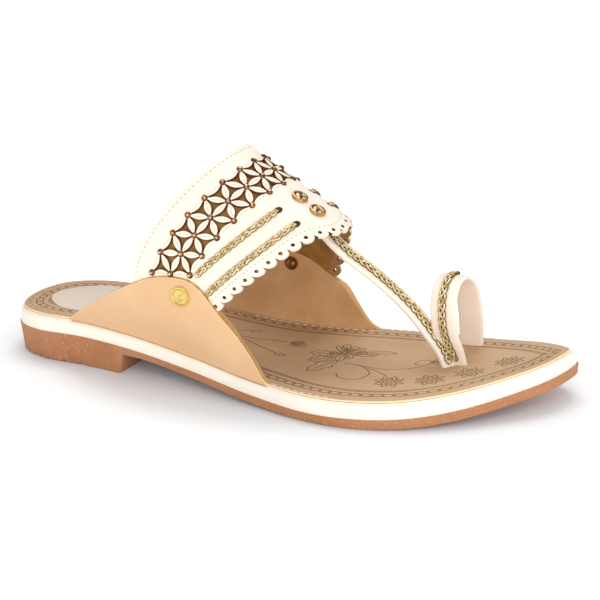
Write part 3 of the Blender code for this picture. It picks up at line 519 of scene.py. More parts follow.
@dataclass(frozen=True)
class Rubber:
    """Moulded sole rubber with light crumbs in it."""

    name: str
    colour: str
    shade: str
    crumb: str
    cloud_size: float = 0.018
    grain: float = 0.0011
    crumb_size: float = 0.0014
    speck_size: float = 0.0006
    crumb_tone: float = 0.75
    speck_tone: float = 0.30
    roughness: float = 0.52
    rough_spread: float = 0.16
    relief: float = 0.00006

    def material(self) -> bpy.types.Material:
        """Build the material.

        Returns:
            The finished material.
        """
        graph = Graph(self.name)
        cloud = graph.band(graph.noise(self.cloud_size, detail=4.0), low=0.35, high=0.7)
        fine = graph.noise(self.grain)
        crumbs = 1 - graph.band(graph.cells(self.crumb_size), low=0.14, high=0.28)
        crumbs = crumbs * graph.band(fine, low=0.46, high=0.58)
        specks = graph.band(graph.noise(self.speck_size), low=0.45, high=0.75)
        tone = graph.mix(cloud, self.colour, self.shade)
        tone = graph.mix(crumbs * self.crumb_tone, tone, self.crumb)
        tone = graph.mix(specks * self.speck_tone, tone, self.shade)
        return graph.dress(
            Base_Color=tone, Roughness=self.roughness + fine * self.rough_spread,
            Specular_IOR_Level=0.35,
            Normal=graph.relief(fine + crumbs * 0.5, self.relief, strength=0.6))


@dataclass(frozen=True)
class Metal:
    """Plated metal with faint brushing and a darker tarnish in patches."""

    name: str
    colour: str
    shade: str
    roughness: float = 0.28
    metallic: float = 1.0
    tarnish: float = 0.5
    patch: float = 0.0022
    brushing: float = 0.0003
    rough_spread: float = 0.12
    relief: float = 0.00001

    def material(self) -> bpy.types.Material:
        """Build the material.

        Returns:
            The finished material.
        """
        graph = Graph(self.name)
        patches = graph.band(graph.noise(self.patch, detail=3.0), low=0.40, high=0.68)
        tone = graph.mix(patches * self.tarnish, self.colour, self.shade)
        return graph.dress(
            Base_Color=tone, Metallic=self.metallic,
            Roughness=self.roughness + patches * self.rough_spread,
            Normal=graph.relief(graph.noise(self.brushing), self.relief, strength=0.4))


@dataclass(frozen=True)
class Thread:
    """Metallic thread with a fine twist: painted light along a strand's back, painted shade at its sides,
    and painted glints.
    """

    name: str
    colour: str
    shade: str
    glint: str
    twist: float = 0.0009
    patch: float = 0.0013
    glint_tone: float = 0.9
    metallic: float = 0.35
    roughness: float = 0.36
    rough_spread: float = 0.2
    relief: float = 0.00004

    def material(self) -> bpy.types.Material:
        """Build the material.

        Returns:
            The finished material.
        """
        graph = Graph(self.name)
        strand = graph.node("ShaderNodeUVMap", {}, uv_map="strand")
        along, around = (graph.node("ShaderNodeSeparateXYZ", {0: strand}, axis) for axis in (0, 1))
        wave = (along * (TURN / self.twist) + around * TURN).sine() * 0.5 + 0.5
        # Painted shade: each strand darkens from its back towards its sides, by its place round the
        # strand.
        back = graph.band((around * TURN).sine(), low=0.28, high=1.0)
        patches = graph.band(graph.noise(self.patch), low=0.40, high=0.60)
        tone = graph.mix(back * (0.75 + wave * 0.25), self.shade, self.colour)
        # Painted highlight: pale glints along the strands' backs.
        tone = graph.mix(back * back * patches * self.glint_tone, tone, self.glint)
        return graph.dress(
            Base_Color=tone, Metallic=self.metallic,
            Roughness=self.roughness + (1 - wave) * self.rough_spread,
            Normal=graph.relief(wave, self.relief, strength=0.5))


@dataclass(frozen=True)
class Stone:
    """Cut amber glass: amber facets, with painted pale highlights on some and painted dark reflections on
    others, in turn.
    """

    name: str
    pale: str
    amber: str
    dark: str
    facet: float = 1 / 720
    metallic: float = 0.35
    roughness: float = 0.10
    coat_roughness: float = 0.03

    def material(self) -> bpy.types.Material:
        """Build the material.

        Returns:
            The finished material.
        """
        graph = Graph(self.name)
        facet = graph.cells(self.facet, "Color")
        number, deep = (graph.node("ShaderNodeSeparateColor", {0: facet}, part) for part in (0, 1))
        # Painted highlight: some facets turn pale.
        tone = graph.mix(graph.band(number, low=0.35, high=0.65), self.amber, self.pale)
        # Painted reflection: some facets turn dark.
        tone = graph.mix(graph.band(deep, low=0.56, high=0.62), tone, self.dark)
        return graph.dress(
            Base_Color=tone, Metallic=self.metallic, Roughness=self.roughness, Coat_Weight=1.0,
            Coat_Roughness=self.coat_roughness)


CREAM = Leather("cream_leather", "FDF1E1", "F8E6D2", 0.48, 0.0008, 0.00005, 0.5)
CREAM_BACK = Leather("cream_leather_back", "FFF3E6", "F6E4D2", 0.6, 0.0008, 0.00006, 0.6)
CREAM_RAND = Leather("cream_rand", "FFF8EA", "FBF0DE", 0.38, 0.0011, 0.00003, 0.4, 0.15)
TAN = Leather("tan_leather", "E4BC90", "DFB283", 0.50, 0.0009, 0.00004, 0.7)
# Inner faces of the wings: a tan lining, a little darker than the outer face, partly as painted shade of
# the inside.
TAN_BACK = Leather("tan_lining_and_painted_shade", "DEB283", "C4955F", 0.58, 0.0009, 0.00006, 0.8)
TAUPE = Leather("taupe_leather", "CFAC86", "C09A74", 0.55, 0.0010, 0.00005, 0.7)
SOCK = Leather("sock_leather", "E6D8C8", "DACBBA", 0.62, 0.0007, 0.00004, 0.5)
LINING = Leather("lining_leather", "A87A3E", "7C5428", 0.5, 0.0009, 0.00007, 0.8, patch=0.009)
FLESH = Leather("band_flesh_side", "B08658", "936A42", 0.62, 0.0009, 0.00007, 0.9)
CUT_EDGE = Leather("cut_leather_edge", "7C5028", "5A3618", 0.6, 0.0006, 0.00005, 0.6)
SCALLOP_EDGE = Leather("pale_leather_edge", "EBD9BE", "DEC6A4", 0.55, 0.0006, 0.00004, 0.6)
HOLE_DARK = Leather("hole_shadow", "4A3220", "2E1D12", 0.8, 0.0006, 0.00004, 0.5)
PRINT = Leather("printed_line", "7E5F40", "6C4D30", 0.6, 0.0006, 0.00002, 0.6)
STITCH = Leather("cream_stitch", "C2B196", "AE9B7C", 0.6, 0.0004, 0.00004, 0.5)
THREAD_WHITE = Leather("white_thread", "FFF0E0", "EFDCC6", 0.6, 0.0004, 0.00004, 0.5)
BROWN = Rubber("brown_rubber", "BE865E", "B0764C", "E8BC98")
EDGE_GOLD = Metal("gold_edge_paint", "D9AC60", "B07E3C", 0.42, 0.25, 0.7)
EDGE_PALE = Leather("pale_edge_paint", "FFE8C6", "F8DAB2", 0.5, 0.0006, 0.00003, 0.5)
EDGE_LINE = Leather("brown_edge_line", "B98A58", "A07242", 0.55, 0.0006, 0.00003, 0.6)
ZIGZAG = Leather("zigzag_line", "A98862", "977650", 0.6, 0.0006, 0.00003, 0.6)
RIVET_GOLD = Metal("rivet_brass", "E2C878", "C9A656", 0.36, 0.55, 0.5)
RIVET_DARK = Metal("rivet_inner_brass", "A97A44", "5E3C1E", 0.30, 0.9, 0.7)
STUD_COPPER = Metal("stud_copper", "9A683A", "4A2A10", 0.20, 0.95, 0.9)
# Painted shade at the studs' feet.
STUD_FOOT_SHADE = Metal("stud_foot", "5A3418", "3A1E0C", 0.35, 0.6, 0.6)
# Painted highlight on the studs' crowns.
STUD_CROWN_HIGHLIGHT = Metal("stud_crown_painted_highlight", "F2CFA6", "B88658", 0.18, 0.7, 0.6)
BEZEL_GOLD = Metal("bezel_gold", "D2A668", "6E4A22", 0.24, 0.75, 0.9)
# Gold cord: its shade colour is painted shade at the strands' sides, its glint colour a painted
# highlight.
PLAIT_GOLD = Thread("gold_cord", "C4A260", "4A3214", "FFF0C8")
PLAIT_SHADE_STRIP = Leather("plait_shadow", "6E5028", "4C3418", 0.7, 0.0006, 0.00003, 0.6)
# Amber stone whose pale and dark facets are painted highlights and painted reflections.
AMBER = Stone("amber_crystal", "FFEEC8", "C08A44", "4E2A12")


@lru_cache(maxsize=None)
def worn_as(finish: Any) -> bpy.types.Material:
    """Build a finish's material once."""
    return finish.material()


def new_object(name: str, data: Any) -> bpy.types.Object:
    """Make an object of some data and link it into the scene.

    Args:
        name: the object's name.
        data: its mesh, light or camera.

    Returns:
        The object.
    """
    made = bpy.data.objects.new(name, data)
    bpy.context.scene.collection.objects.link(made)
    return made


def piece(name: str, form: Form, finishes: Sequence[Any], replaces: Sequence[str] = (),
          sharp: float = 0.7, uv: Array | None = None) -> None:
    """Args:
        name: the piece's name.
        form: its points, faces and finish numbers.
        finishes: the finishes that the numbers stand for.
        replaces: CAD nodes that it stands for.
        sharp: angle in radians past which an edge stays sharp.
        uv: place along and round a strand for each point, where a finish reads it.
    """
    mesh = bpy.data.meshes.new(name)
    mesh.from_pydata(form.points.tolist(), [], form.faces)
    for finish in finishes:
        mesh.materials.append(worn_as(finish))
    mesh.polygons.foreach_set("material_index", np.asarray(form.worn, np.int32))
    mesh.polygons.foreach_set("use_smooth", np.ones(len(form.faces), bool))
    if uv is not None:
        corners = np.zeros(len(mesh.loops), np.int32)
        mesh.loops.foreach_get("vertex_index", corners)
        layer = mesh.uv_layers.new(name="strand")
        layer.data.foreach_set("uv", uv[corners].astype(np.float32).ravel())
    mesh.update()
    made = new_object(name, mesh)
    turn_outwards(mesh)
    mesh.set_sharp_from_angle(angle=sharp)
    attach(made, "root")
    if replaces:
        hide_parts(*replaces)
    LOG.info("%s: %d faces", name, len(form.faces))


def turn_outwards(mesh: bpy.types.Mesh) -> None:
    """Turn the faces of a closed mesh outwards.

    Args:
        mesh: the mesh, changed in place.
    """
    work = bmesh.new()
    work.from_mesh(mesh)
    bmesh.ops.recalc_face_normals(work, faces=work.faces)
    work.to_mesh(mesh)
    work.free()


@dataclass
class Sole:
    """Outsole, rand, insole and heel sock, from one outline and one table of heights."""

    length: float = 0.250
    ball_width: float = 0.0915
    outsole_wall: float = 0.0044
    heel_lift: float = 0.0089
    breast_depth: float = 0.0084
    shank_wall: float = 0.0031
    toe_spring: float = 0.0097
    rand_height: float = 0.0064
    rand_round: float = 0.0020
    insole_wall: float = 0.0015
    insole_inset: float = 0.00215
    breast_along: float = 0.255
    ball_start: float = 0.635
    roll_start: float = 0.752
    groove_start: float = 0.060
    groove_count: int = 7
    groove_pitch: float = 0.0042
    groove_width: float = 0.0014
    groove_depth: float = 0.0009
    heel_taper: float = 0.0014
    foot_round: float = 0.0006
    rand_inset: float = 0.0004
    toe_seat: float = 0.00135
    columns: int = 150
    sock_start: float = 0.008
    sock_end: float = 0.230
    sock_inset: float = 0.0105
    sock_fullness: float = 0.75
    sock_columns: int = 60
    sock_levels: tuple[Row, ...] = ((0.0, 0.0), (0.0, 0.0005), (0.0004, 0.0007))
    edge_levels: tuple[Row, ...] = (
        (0.0, -0.50), (0.0, -0.16), (0.0, 0.04), (0.0, 0.28), (0.14, 0.44), (0.30, 0.50))
    outer_side: tuple[Row, ...] = (
        (0.020, -0.157), (0.084, -0.252), (0.178, -0.262), (0.298, -0.301), (0.418, -0.354),
        (0.538, -0.427), (0.639, -0.487), (0.726, -0.491), (0.810, -0.418), (0.883, -0.282),
        (0.947, -0.094), (0.985, 0.050))
    inner_side: tuple[Row, ...] = (
        (0.990, 0.300), (0.925, 0.420), (0.848, 0.478), (0.756, 0.496), (0.653, 0.482),
        (0.551, 0.412), (0.438, 0.330), (0.318, 0.316), (0.197, 0.338), (0.095, 0.330), (0.022, 0.232))
    heel_tip: Row = (0.0, 0.035)
    toe_tip: Row = (1.0, 0.200)
    height_along: Row = (0.00, 0.14, 0.28, 0.40, 0.52, 0.64, 0.76, 0.90, 1.00)
    height_lift: Row = (0.91, 1.00, 0.84, 0.49, 0.11, -0.05, 0.00, 0.00, 0.00)
    height_rand: Row = (1.08, 0.99, 0.935, 0.92, 0.92, 0.975, 1.01, 1.05, 0.96)

    @cached_property
    def outline(self) -> tuple[Array, Array]:
        """Dense points of the outline and their outward normals, from a curve through the corners.

        Returns:
            The points in plan and the normals, n by 2 each.
        """
        corners = np.array([self.heel_tip, *self.outer_side, self.toe_tip, *self.inner_side])
        p0, p1, p2, p3 = (np.roll(corners, k, axis=0)[:, None, :] for k in (1, 0, -1, -2))
        t = np.linspace(0.0, 1.0, 24, endpoint=False)[None, :, None]
        curve = 0.5 * (2 * p1 + (p2 - p0) * t + (2 * p0 - 5 * p1 + 4 * p2 - p3) * t**2
                       + (3 * p1 - p0 - 3 * p2 + p3) * t**3)
        curve = curve.reshape(-1, 2)
        low = curve.min(axis=0)
        curve = (curve - low) / (curve.max(axis=0) - low) - 0.5
        curve = curve * np.array([self.length, self.ball_width])
        return curve, -left_of(headings(curve))

    def along(self, x: Array) -> Array:
        """Share along the sole of a place on the X axis."""
        return np.asarray(x) / self.length + 0.5

    def x_of(self, along: Array) -> Array:
        """Place on the X axis of a share along the sole."""
        return (np.asarray(along) - 0.5) * self.length

    def rim(self, inset: float | Callable[[Array], Array]) -> tuple[Array, Array]:
        """Both sides of the outline, moved in.

        Args:
            inset: a length, or a function of the share along.

        Returns:
            The outer and the inner side, both from heel to toe.
        """
        points, normals = self.outline
        depth = inset(self.along(points[:, 0])) if callable(inset) else inset
        moved = points - normals * np.reshape(depth * np.ones(len(points)), (-1, 1))
        moved = np.roll(moved, -int(np.argmin(moved[:, 0])), axis=0)
        toe = int(np.argmax(moved[:, 0]))
        return moved[:toe + 1], np.vstack([moved[:1], moved[toe:][::-1]])

    def side_y(self, side: Side, x: Array, inset: float) -> Array:
        """Place across of the inset outline on one side.

        Args:
            side: which side.
            x: places on the X axis.
            inset: how far in from the outline.

        Returns:
            The places on the Y axis.
        """
        line = self.rim(inset)[0 if side is Side.OUTER else 1]
        order = np.argsort(line[:, 0])
        return np.interp(x, line[order, 0], line[order, 1])

    def ground(self, along: Array) -> Array:
        """Height of the outsole's underside, which rolls up towards the toe."""
        share = np.clip((np.asarray(along) - self.roll_start) / (1 - self.roll_start), 0, None)
        return self.toe_spring * share**2

    def rand_foot(self, along: Array) -> Array:
        """Height of the line where rand and outsole meet."""
        lift = hermite(self.height_along, self.height_lift, along)
        return self.outsole_wall + self.heel_lift * lift + self.ground(along)

    def gold_line(self, along: Array) -> Array:
        """Height of the middle of the insole's painted edge."""
        share = hermite(self.height_along, self.height_rand, along)
        return self.rand_foot(along) + self.rand_height * share

    def insole_top(self, along: Array) -> Array:
        """Height of the insole's upper face."""
        return self.gold_line(along) + self.insole_wall / 2

    def midsole_top(self, along: Array) -> Array:
        """Height of the midsole's upper face."""
        return self.gold_line(along) - self.insole_wall / 2 - GAP

    def ring(self, inset: Any, height: Callable[[Array], Array], turn: Array) -> Array:
        """A ring of points round the sole.

        Its places along are the low end plus the span times (1 - cos(turn)) / 2.

        Args:
            inset: how far in from the outline, a length or a function of the share along.
            height: height as a function of the share along.
            turn: angles from 0 to pi.

        Returns:
            The ring, up the outer side and back down the inner side.
        """
        outer, inner = self.rim(inset)
        low, high = outer[0, 0], outer[-1, 0]
        x = low + (high - low) * (1 - np.cos(turn)) / 2
        plan_x = np.concatenate([x, x[-2:0:-1]])
        plan_y = np.concatenate([np.interp(x, outer[:, 0], outer[:, 1]),
                                 np.interp(x, inner[:, 0], inner[:, 1])[-2:0:-1]])
        return np.stack([plan_x, plan_y, height(self.along(plan_x))], axis=1)

    def underside(self, along: Array) -> Array:
        """Height of the outsole's underside with heel, arch and grooves.

        Args:
            along: shares along the sole.

        Returns:
            The heights over the floor.
        """
        share = (along - self.breast_along) / (self.ball_start - self.breast_along)
        ceiling = (self.rand_foot(along) - self.shank_wall) * (1 - np.clip(share, 0, 1) ** 3)
        arch = np.where((share > 0) & (share < 1), np.minimum(ceiling, self.breast_depth), 0.0)
        run = (self.x_of(along) - self.x_of(self.groove_start)) / self.groove_pitch
        number = np.floor(run)
        in_groove = (number >= 0) & (number < self.groove_count)
        in_groove &= (run - number) * self.groove_pitch < self.groove_width
        return self.ground(along) + np.clip(arch, 0.0, None) + np.where(in_groove, self.groove_depth, 0.0)

    def rand_in(self, along: Array) -> Array:
        """Inset of the rand from the outsole's side, which grows round the toe."""
        return self.rand_inset * (1 + ramp(along, 0.8, 0.2))

    def seat(self, along: Array) -> Array:
        """Inset of the insole, which grows towards the tip of the toe."""
        return self.insole_inset + self.toe_seat * ramp(along, 0.90, 0.10) ** 2

    def build(self) -> None:
        """Build the four pieces of the sole."""
        turn = np.linspace(0.0, np.pi, self.columns)
        self.build_outsole(turn)
        self.build_rand(turn)
        self.build_footbed(turn)
        self.build_sock()

    def build_outsole(self, turn: Array) -> None:
        """Build the outsole, with columns at the breast and at each side of each groove.

        Args:
            turn: angles of the even columns, from heel to toe.
        """
        low, high = -self.length / 2, self.length / 2
        first = self.x_of(self.groove_start) + self.groove_pitch * np.arange(self.groove_count)
        marks = np.concatenate([first, first + self.groove_width, [self.x_of(self.breast_along)]])
        beside = 0.00004
        marks = np.concatenate([marks - beside, marks + beside])
        corners = np.arccos(np.clip(1 - 2 * (marks - low) / (high - low), -1, 1))
        turn = np.sort(np.concatenate([turn, corners]))

        def taper(share: float) -> Callable[[Array], Array]:
            """Inset of the heel's back edge at a share of its height from the floor."""
            depth = self.heel_taper * (1 - share)
            return lambda along: depth * np.clip(1 - along / self.breast_along, 0.1, 1.0) ** 0.5

        rings = [
            self.ring(lambda along: taper(0.0)(along) + self.foot_round, self.underside, turn),
            self.ring(taper(0.02), lambda along: self.underside(along) + self.foot_round * 0.8, turn),
            self.ring(taper(1.0), self.rand_foot, turn)]
        piece("sole_unit", stack_of_rings(np.array(rings), [0, 0, 0, 0]), [BROWN],
              ["outsole"], sharp=0.5)

    def build_rand(self, turn: Array) -> None:
        """Build the rand, whose upper edge is a quarter circle up to the insole.

        Args:
            turn: angles of its columns, from heel to toe.
        """
        rings = [self.ring(self.rand_in, self.rand_foot, turn)]
        for angle in np.linspace(0.0, np.pi / 2, 7):
            share = 1 - np.cos(angle)
            drop = self.rand_round * (1 - np.sin(angle))
            rings.append(self.ring(
                lambda along, s=share: self.rand_in(along) + (self.seat(along) - self.rand_in(along)) * s,
                lambda along, d=drop: self.midsole_top(along) + GAP - d, turn))
        worn = [0] * (len(rings) + 1)
        piece("rand", stack_of_rings(np.array(rings), worn), [CREAM_RAND], ["midsole"])

    def build_footbed(self, turn: Array) -> None:
        """Build the insole, whose painted edge has a finish for each of its levels.

        Args:
            turn: angles of its columns, from heel to toe.
        """
        wall = self.insole_wall
        rings = [self.ring(lambda along, i=inset: self.seat(along) + wall * i,
                           lambda along, h=height: self.gold_line(along) + wall * h, turn)
                 for inset, height in self.edge_levels]
        piece("footbed", stack_of_rings(np.array(rings), [4, 4, 1, 2, 2, 3, 0]),
              [TAUPE, EDGE_LINE, EDGE_PALE, EDGE_GOLD, CREAM_RAND], ["insole"])

    def build_sock(self) -> None:
        """Build the oval sock on the heel: an ellipse in length, squarer across."""
        start, end = self.x_of(self.sock_start) + self.sock_inset, self.x_of(self.sock_end)
        turn = np.pi * np.arange(2 * self.sock_columns) / self.sock_columns
        rings = []
        for shrink, lift in self.sock_levels:
            x = (start + end) / 2 - ((end - start) / 2 - shrink) * np.cos(turn)
            outer, inner = (self.side_y(side, x, self.sock_inset + shrink) for side in Side)
            y = (outer + inner) / 2 - (inner - outer) / 2 * squared(np.sin(turn), self.sock_fullness)
            rings.append(np.stack([x, y, self.insole_top(self.along(x)) + lift], axis=1))
        piece("heel_sock_pad", stack_of_rings(np.array(rings), [0, 0, 0, 0]), [SOCK],
              ["heel_sock"])


@dataclass(frozen=True)
class Arch:
    """One edge of the band over the instep: a squared arch between two feet."""

    along: Row
    across: Row
    rise: Row
    squareness: float
    skew: float
    lean: float


@dataclass
class Upper:
    """Shared shape of band and wings: the two arches, and the sheet between them."""

    sole: Sole
    wing_height: float = 0.0345
    instep_rise: float = 0.0803
    band_wall: float = 0.0013
    ply_wall: float = 0.0009
    lining_wall: float = 0.0006
    wing_wall: float = 0.0023
    tuck: float = 0.014
    rear: Arch = Arch(
        (0.3030, 0.3219, 0.4255), (-0.344, 0.403), (0.884, 0.887, 1.000), 2.34, 0.035, 1.51)
    front: Arch = Arch(
        (0.4689, 0.5411, 0.6180), (-0.368, 0.406), (0.687, 0.622, 0.731), 2.19, -0.019, 1.11)
    samples: int = 241

    def heights(self, arch: Arch) -> tuple[float, float, float]:
        """Heights of an arch's outer foot, inner foot and crown.

        Args:
            arch: the arch.

        Returns:
            The three heights over the floor.
        """
        outer, inner, crown = (float(self.sole.gold_line(a)) for a in arch.along)
        return (outer + self.wing_height * arch.rise[0], inner + self.wing_height * arch.rise[1],
                crown + self.instep_rise * arch.rise[2])

    def arch_line(self, arch: Arch) -> Array:
        """Even points of an arch: powers of cosine across and of sine upwards.

        Args:
            arch: the arch.

        Returns:
            The points, from the outer foot to the inner one.
        """
        angle = np.linspace(np.pi, 0.0, self.samples)
        across = squared(np.cos(angle), 2 / arch.squareness)
        rise = np.abs(np.sin(angle)) ** (2 / arch.squareness)
        inward = (across + 1) / 2
        y = arch.across[0] + (arch.across[1] - arch.across[0]) * inward + arch.skew * rise
        foot_along = arch.along[0] + (arch.along[1] - arch.along[0]) * inward
        along = foot_along + (arch.along[2] - foot_along) * rise**arch.lean
        outer, inner, crown = self.heights(arch)
        foot = outer + (inner - outer) * inward
        z = foot + (crown - foot) * rise
        line = np.stack([self.sole.x_of(along), y * self.sole.ball_width, z], axis=1)
        return read_line(line, np.linspace(0.0, 1.0, self.samples))

    @cached_property
    def edges(self) -> tuple[Array, Array]:
        """Rear and front edge of the band at even shares of their lengths."""
        return self.arch_line(self.rear), self.arch_line(self.front)

    @cached_property
    def widths(self) -> Array:
        """Width of the band at each sample."""
        return np.linalg.norm(self.edges[1] - self.edges[0], axis=1)

    def width(self, u: Array) -> Array:
        """Width of the band at shares of its length."""
        return np.interp(u, np.linspace(0, 1, self.samples), self.widths)

    def feet(self, side: Side) -> tuple[Array, Array]:
        """Rear and front foot of the band on one side."""
        end = 0 if side is Side.OUTER else -1
        return self.edges[0][end], self.edges[1][end]

    def wing_y(self, side: Side, x: Array, z: Array) -> Array:
        """Place across of a wing's middle, which bends from the sole up into the band.

        Args:
            side: which wing.
            x: places on the X axis.
            z: heights over the floor.

        Returns:
            The places on the Y axis.
        """
        rear_foot, front_foot = self.feet(side)
        share = np.clip((x - rear_foot[0]) / (front_foot[0] - rear_foot[0]), -0.8, 1.6)
        held = np.clip(share, 0.0, 1.0)
        line_y = rear_foot[1] + (front_foot[1] - rear_foot[1]) * held
        line_z = rear_foot[2] + (front_foot[2] - rear_foot[2]) * share

        def along_band(value: Callable[[Arch], float]) -> Array:
            """A value of the arches, carried from the rear arch to the front one."""
            return value(self.rear) * (1 - held) + value(self.front) * held

        crown = along_band(lambda arch: self.heights(arch)[2])
        middle = along_band(lambda arch: sum(arch.across) / 2) * self.sole.ball_width
        power = along_band(lambda arch: arch.squareness)
        skew = along_band(lambda arch: arch.skew) * self.sole.ball_width
        above = np.clip((z - line_z) / (crown - line_z), 0.0, 0.6)
        y_above = middle + (line_y - middle) * (1 - above**power) ** (1 / power) + skew * above
        base = self.sole.gold_line(self.sole.along(x))
        below = np.clip((line_z - z) / (line_z - base), 0.0, 1.3)
        foot_y = self.sole.side_y(side, x, self.sole.insole_inset + self.wing_wall / 2)
        y_below = line_y + (foot_y - line_y) * below**1.6
        return np.where(z > line_z, y_above, y_below)

    def foot_slope(self, arch: Arch, side: Side) -> float:
        """Run along the shoe for each length of rise at an arch's foot.

        Args:
            arch: the arch.
            side: which foot.

        Returns:
            The run for a rise of one.
        """
        outer, inner, crown = self.heights(arch)
        which = 0 if side is Side.OUTER else 1
        foot_z = (outer, inner)[which]
        near = 0.03
        reach = (arch.along[2] - arch.along[which]) * self.sole.length
        run = reach * arch.lean * near ** (arch.lean - 1)
        return run / (crown - foot_z)

    def middle(self, u: Array, depth: Array) -> Array:
        """A point of the band's middle surface.

        Between its feet it lies on the straight line from the rear edge to the front edge, depth
        from the rear; past a foot it runs down inside the wing.

        Args:
            u: share of the band's length, under 0 and over 1 in the tucked ends.
            depth: distance from the rear edge.

        Returns:
            The points.
        """
        u, depth = np.broadcast_arrays(np.asarray(u, float), np.asarray(depth, float))
        held = np.clip(u, 0.0, 1.0)
        at = np.linspace(0.0, 1.0, self.samples)
        rear, front = (read_rows(held, at, edge) for edge in self.edges)
        share = depth / self.width(held)
        point = rear + (front - rear) * share[..., None]
        down = np.maximum(-u, u - 1).clip(0.0) * self.length
        for side, past in ((Side.OUTER, u < 0), (Side.INNER, u > 1)):
            steep, shallow = (self.foot_slope(arch, side) for arch in (self.rear, self.front))
            slope = steep * (1 - share) + shallow * share
            x = point[..., 0] - slope * down
            z = point[..., 2] - down
            tail = np.stack([x, self.wing_y(side, x, z), z], -1)
            point = np.where(past[..., None], tail, point)
        return point

    @cached_property
    def length(self) -> float:
        """Length of the band's rear edge."""
        return float(chords(self.edges[0])[-1])

    def outward(self, u: Array, depth: Array) -> Array:
        """Outward normals of the band, from the slopes of its middle surface.

        Args:
            u: shares of the band's length.
            depth: distances from its rear edge.

        Returns:
            The unit normals.
        """
        du, dd = 0.004, 0.0006
        along = self.middle(u + du, depth) - self.middle(u - du, depth)
        across = self.middle(u, depth + dd) - self.middle(u, depth - dd)
        return unit(np.cross(across, along))

    def surface(self, u: Array, depth: Array, lift: float | Array) -> Array:
        """A point a lift off the band's middle surface."""
        return self.middle(u, depth) + self.outward(u, depth) * np.asarray(lift)[..., None]

    def face_at(self, arc: Array, distance: Array | float,
                from_front: bool = False) -> tuple[Array, Array]:
        """Points of the band's outer face and the outward normals there.

        Args:
            arc: distance along the band from its crown, inner side positive.
            distance: distance from the rear edge, or from the front edge.
            from_front: which edge the distance is from.

        Returns:
            The points and the normals.
        """
        u, depth = self.locate(arc, distance, from_front)
        return self.surface(u, depth, self.band_wall / 2), self.outward(u, depth)

    @lru_cache(maxsize=2)
    def arc_table(self, from_front: bool) -> tuple[Array, Array, Array]:
        """Shares of the band's length for distances from an edge and arcs from the crown.

        Args:
            from_front: whether the distances are from the front edge.

        Returns:
            The distances, the arcs, and the share for each pair of them.
        """
        depths = np.linspace(-0.008, 0.048, 57)
        arcs = np.linspace(-0.08, 0.08, 321)
        at = np.linspace(0.0, 1.0, self.samples)
        share = depths[:, None] / self.widths[None, :]
        share = 1 - share if from_front else share
        rear, front = self.edges
        lines = rear[None] + (front - rear)[None] * share[..., None]
        run = np.cumsum(np.linalg.norm(np.diff(lines, axis=1), axis=2), axis=1)
        run = np.pad(run, ((0, 0), (1, 0)))
        run -= run[:, self.samples // 2:self.samples // 2 + 1]
        return depths, arcs, np.array([np.interp(arcs, line, at) for line in run])

    def locate(self, arc: Array, distance: Array, from_front: bool = False) -> tuple[Array, Array]:
        """Turn an arc from the crown and a distance from an edge into u and depth.

        Args:
            arc: distance along the band from its crown, inner side positive.
            distance: distance from the rear edge, or from the front edge.
            from_front: which edge the distance is from.

        Returns:
            The share of the band's length, and the depth from the rear edge.
        """
        depths, arcs, table = self.arc_table(from_front)
        arc, distance = np.broadcast_arrays(np.asarray(arc, float), np.asarray(distance, float))
        i = np.clip((distance - depths[0]) / (depths[1] - depths[0]), 0, len(depths) - 1.001)
        j = np.clip((arc - arcs[0]) / (arcs[1] - arcs[0]), 0, len(arcs) - 1.001)
        i0, j0 = i.astype(int), j.astype(int)
        a, b = i - i0, j - j0
        u = ((table[i0, j0] * (1 - b) + table[i0, j0 + 1] * b) * (1 - a)
             + (table[i0 + 1, j0] * (1 - b) + table[i0 + 1, j0 + 1] * b) * a)
        return u, (self.width(u) - distance if from_front else distance)

    def __hash__(self) -> int:
        """Let the tables be kept by object."""
        return id(self)


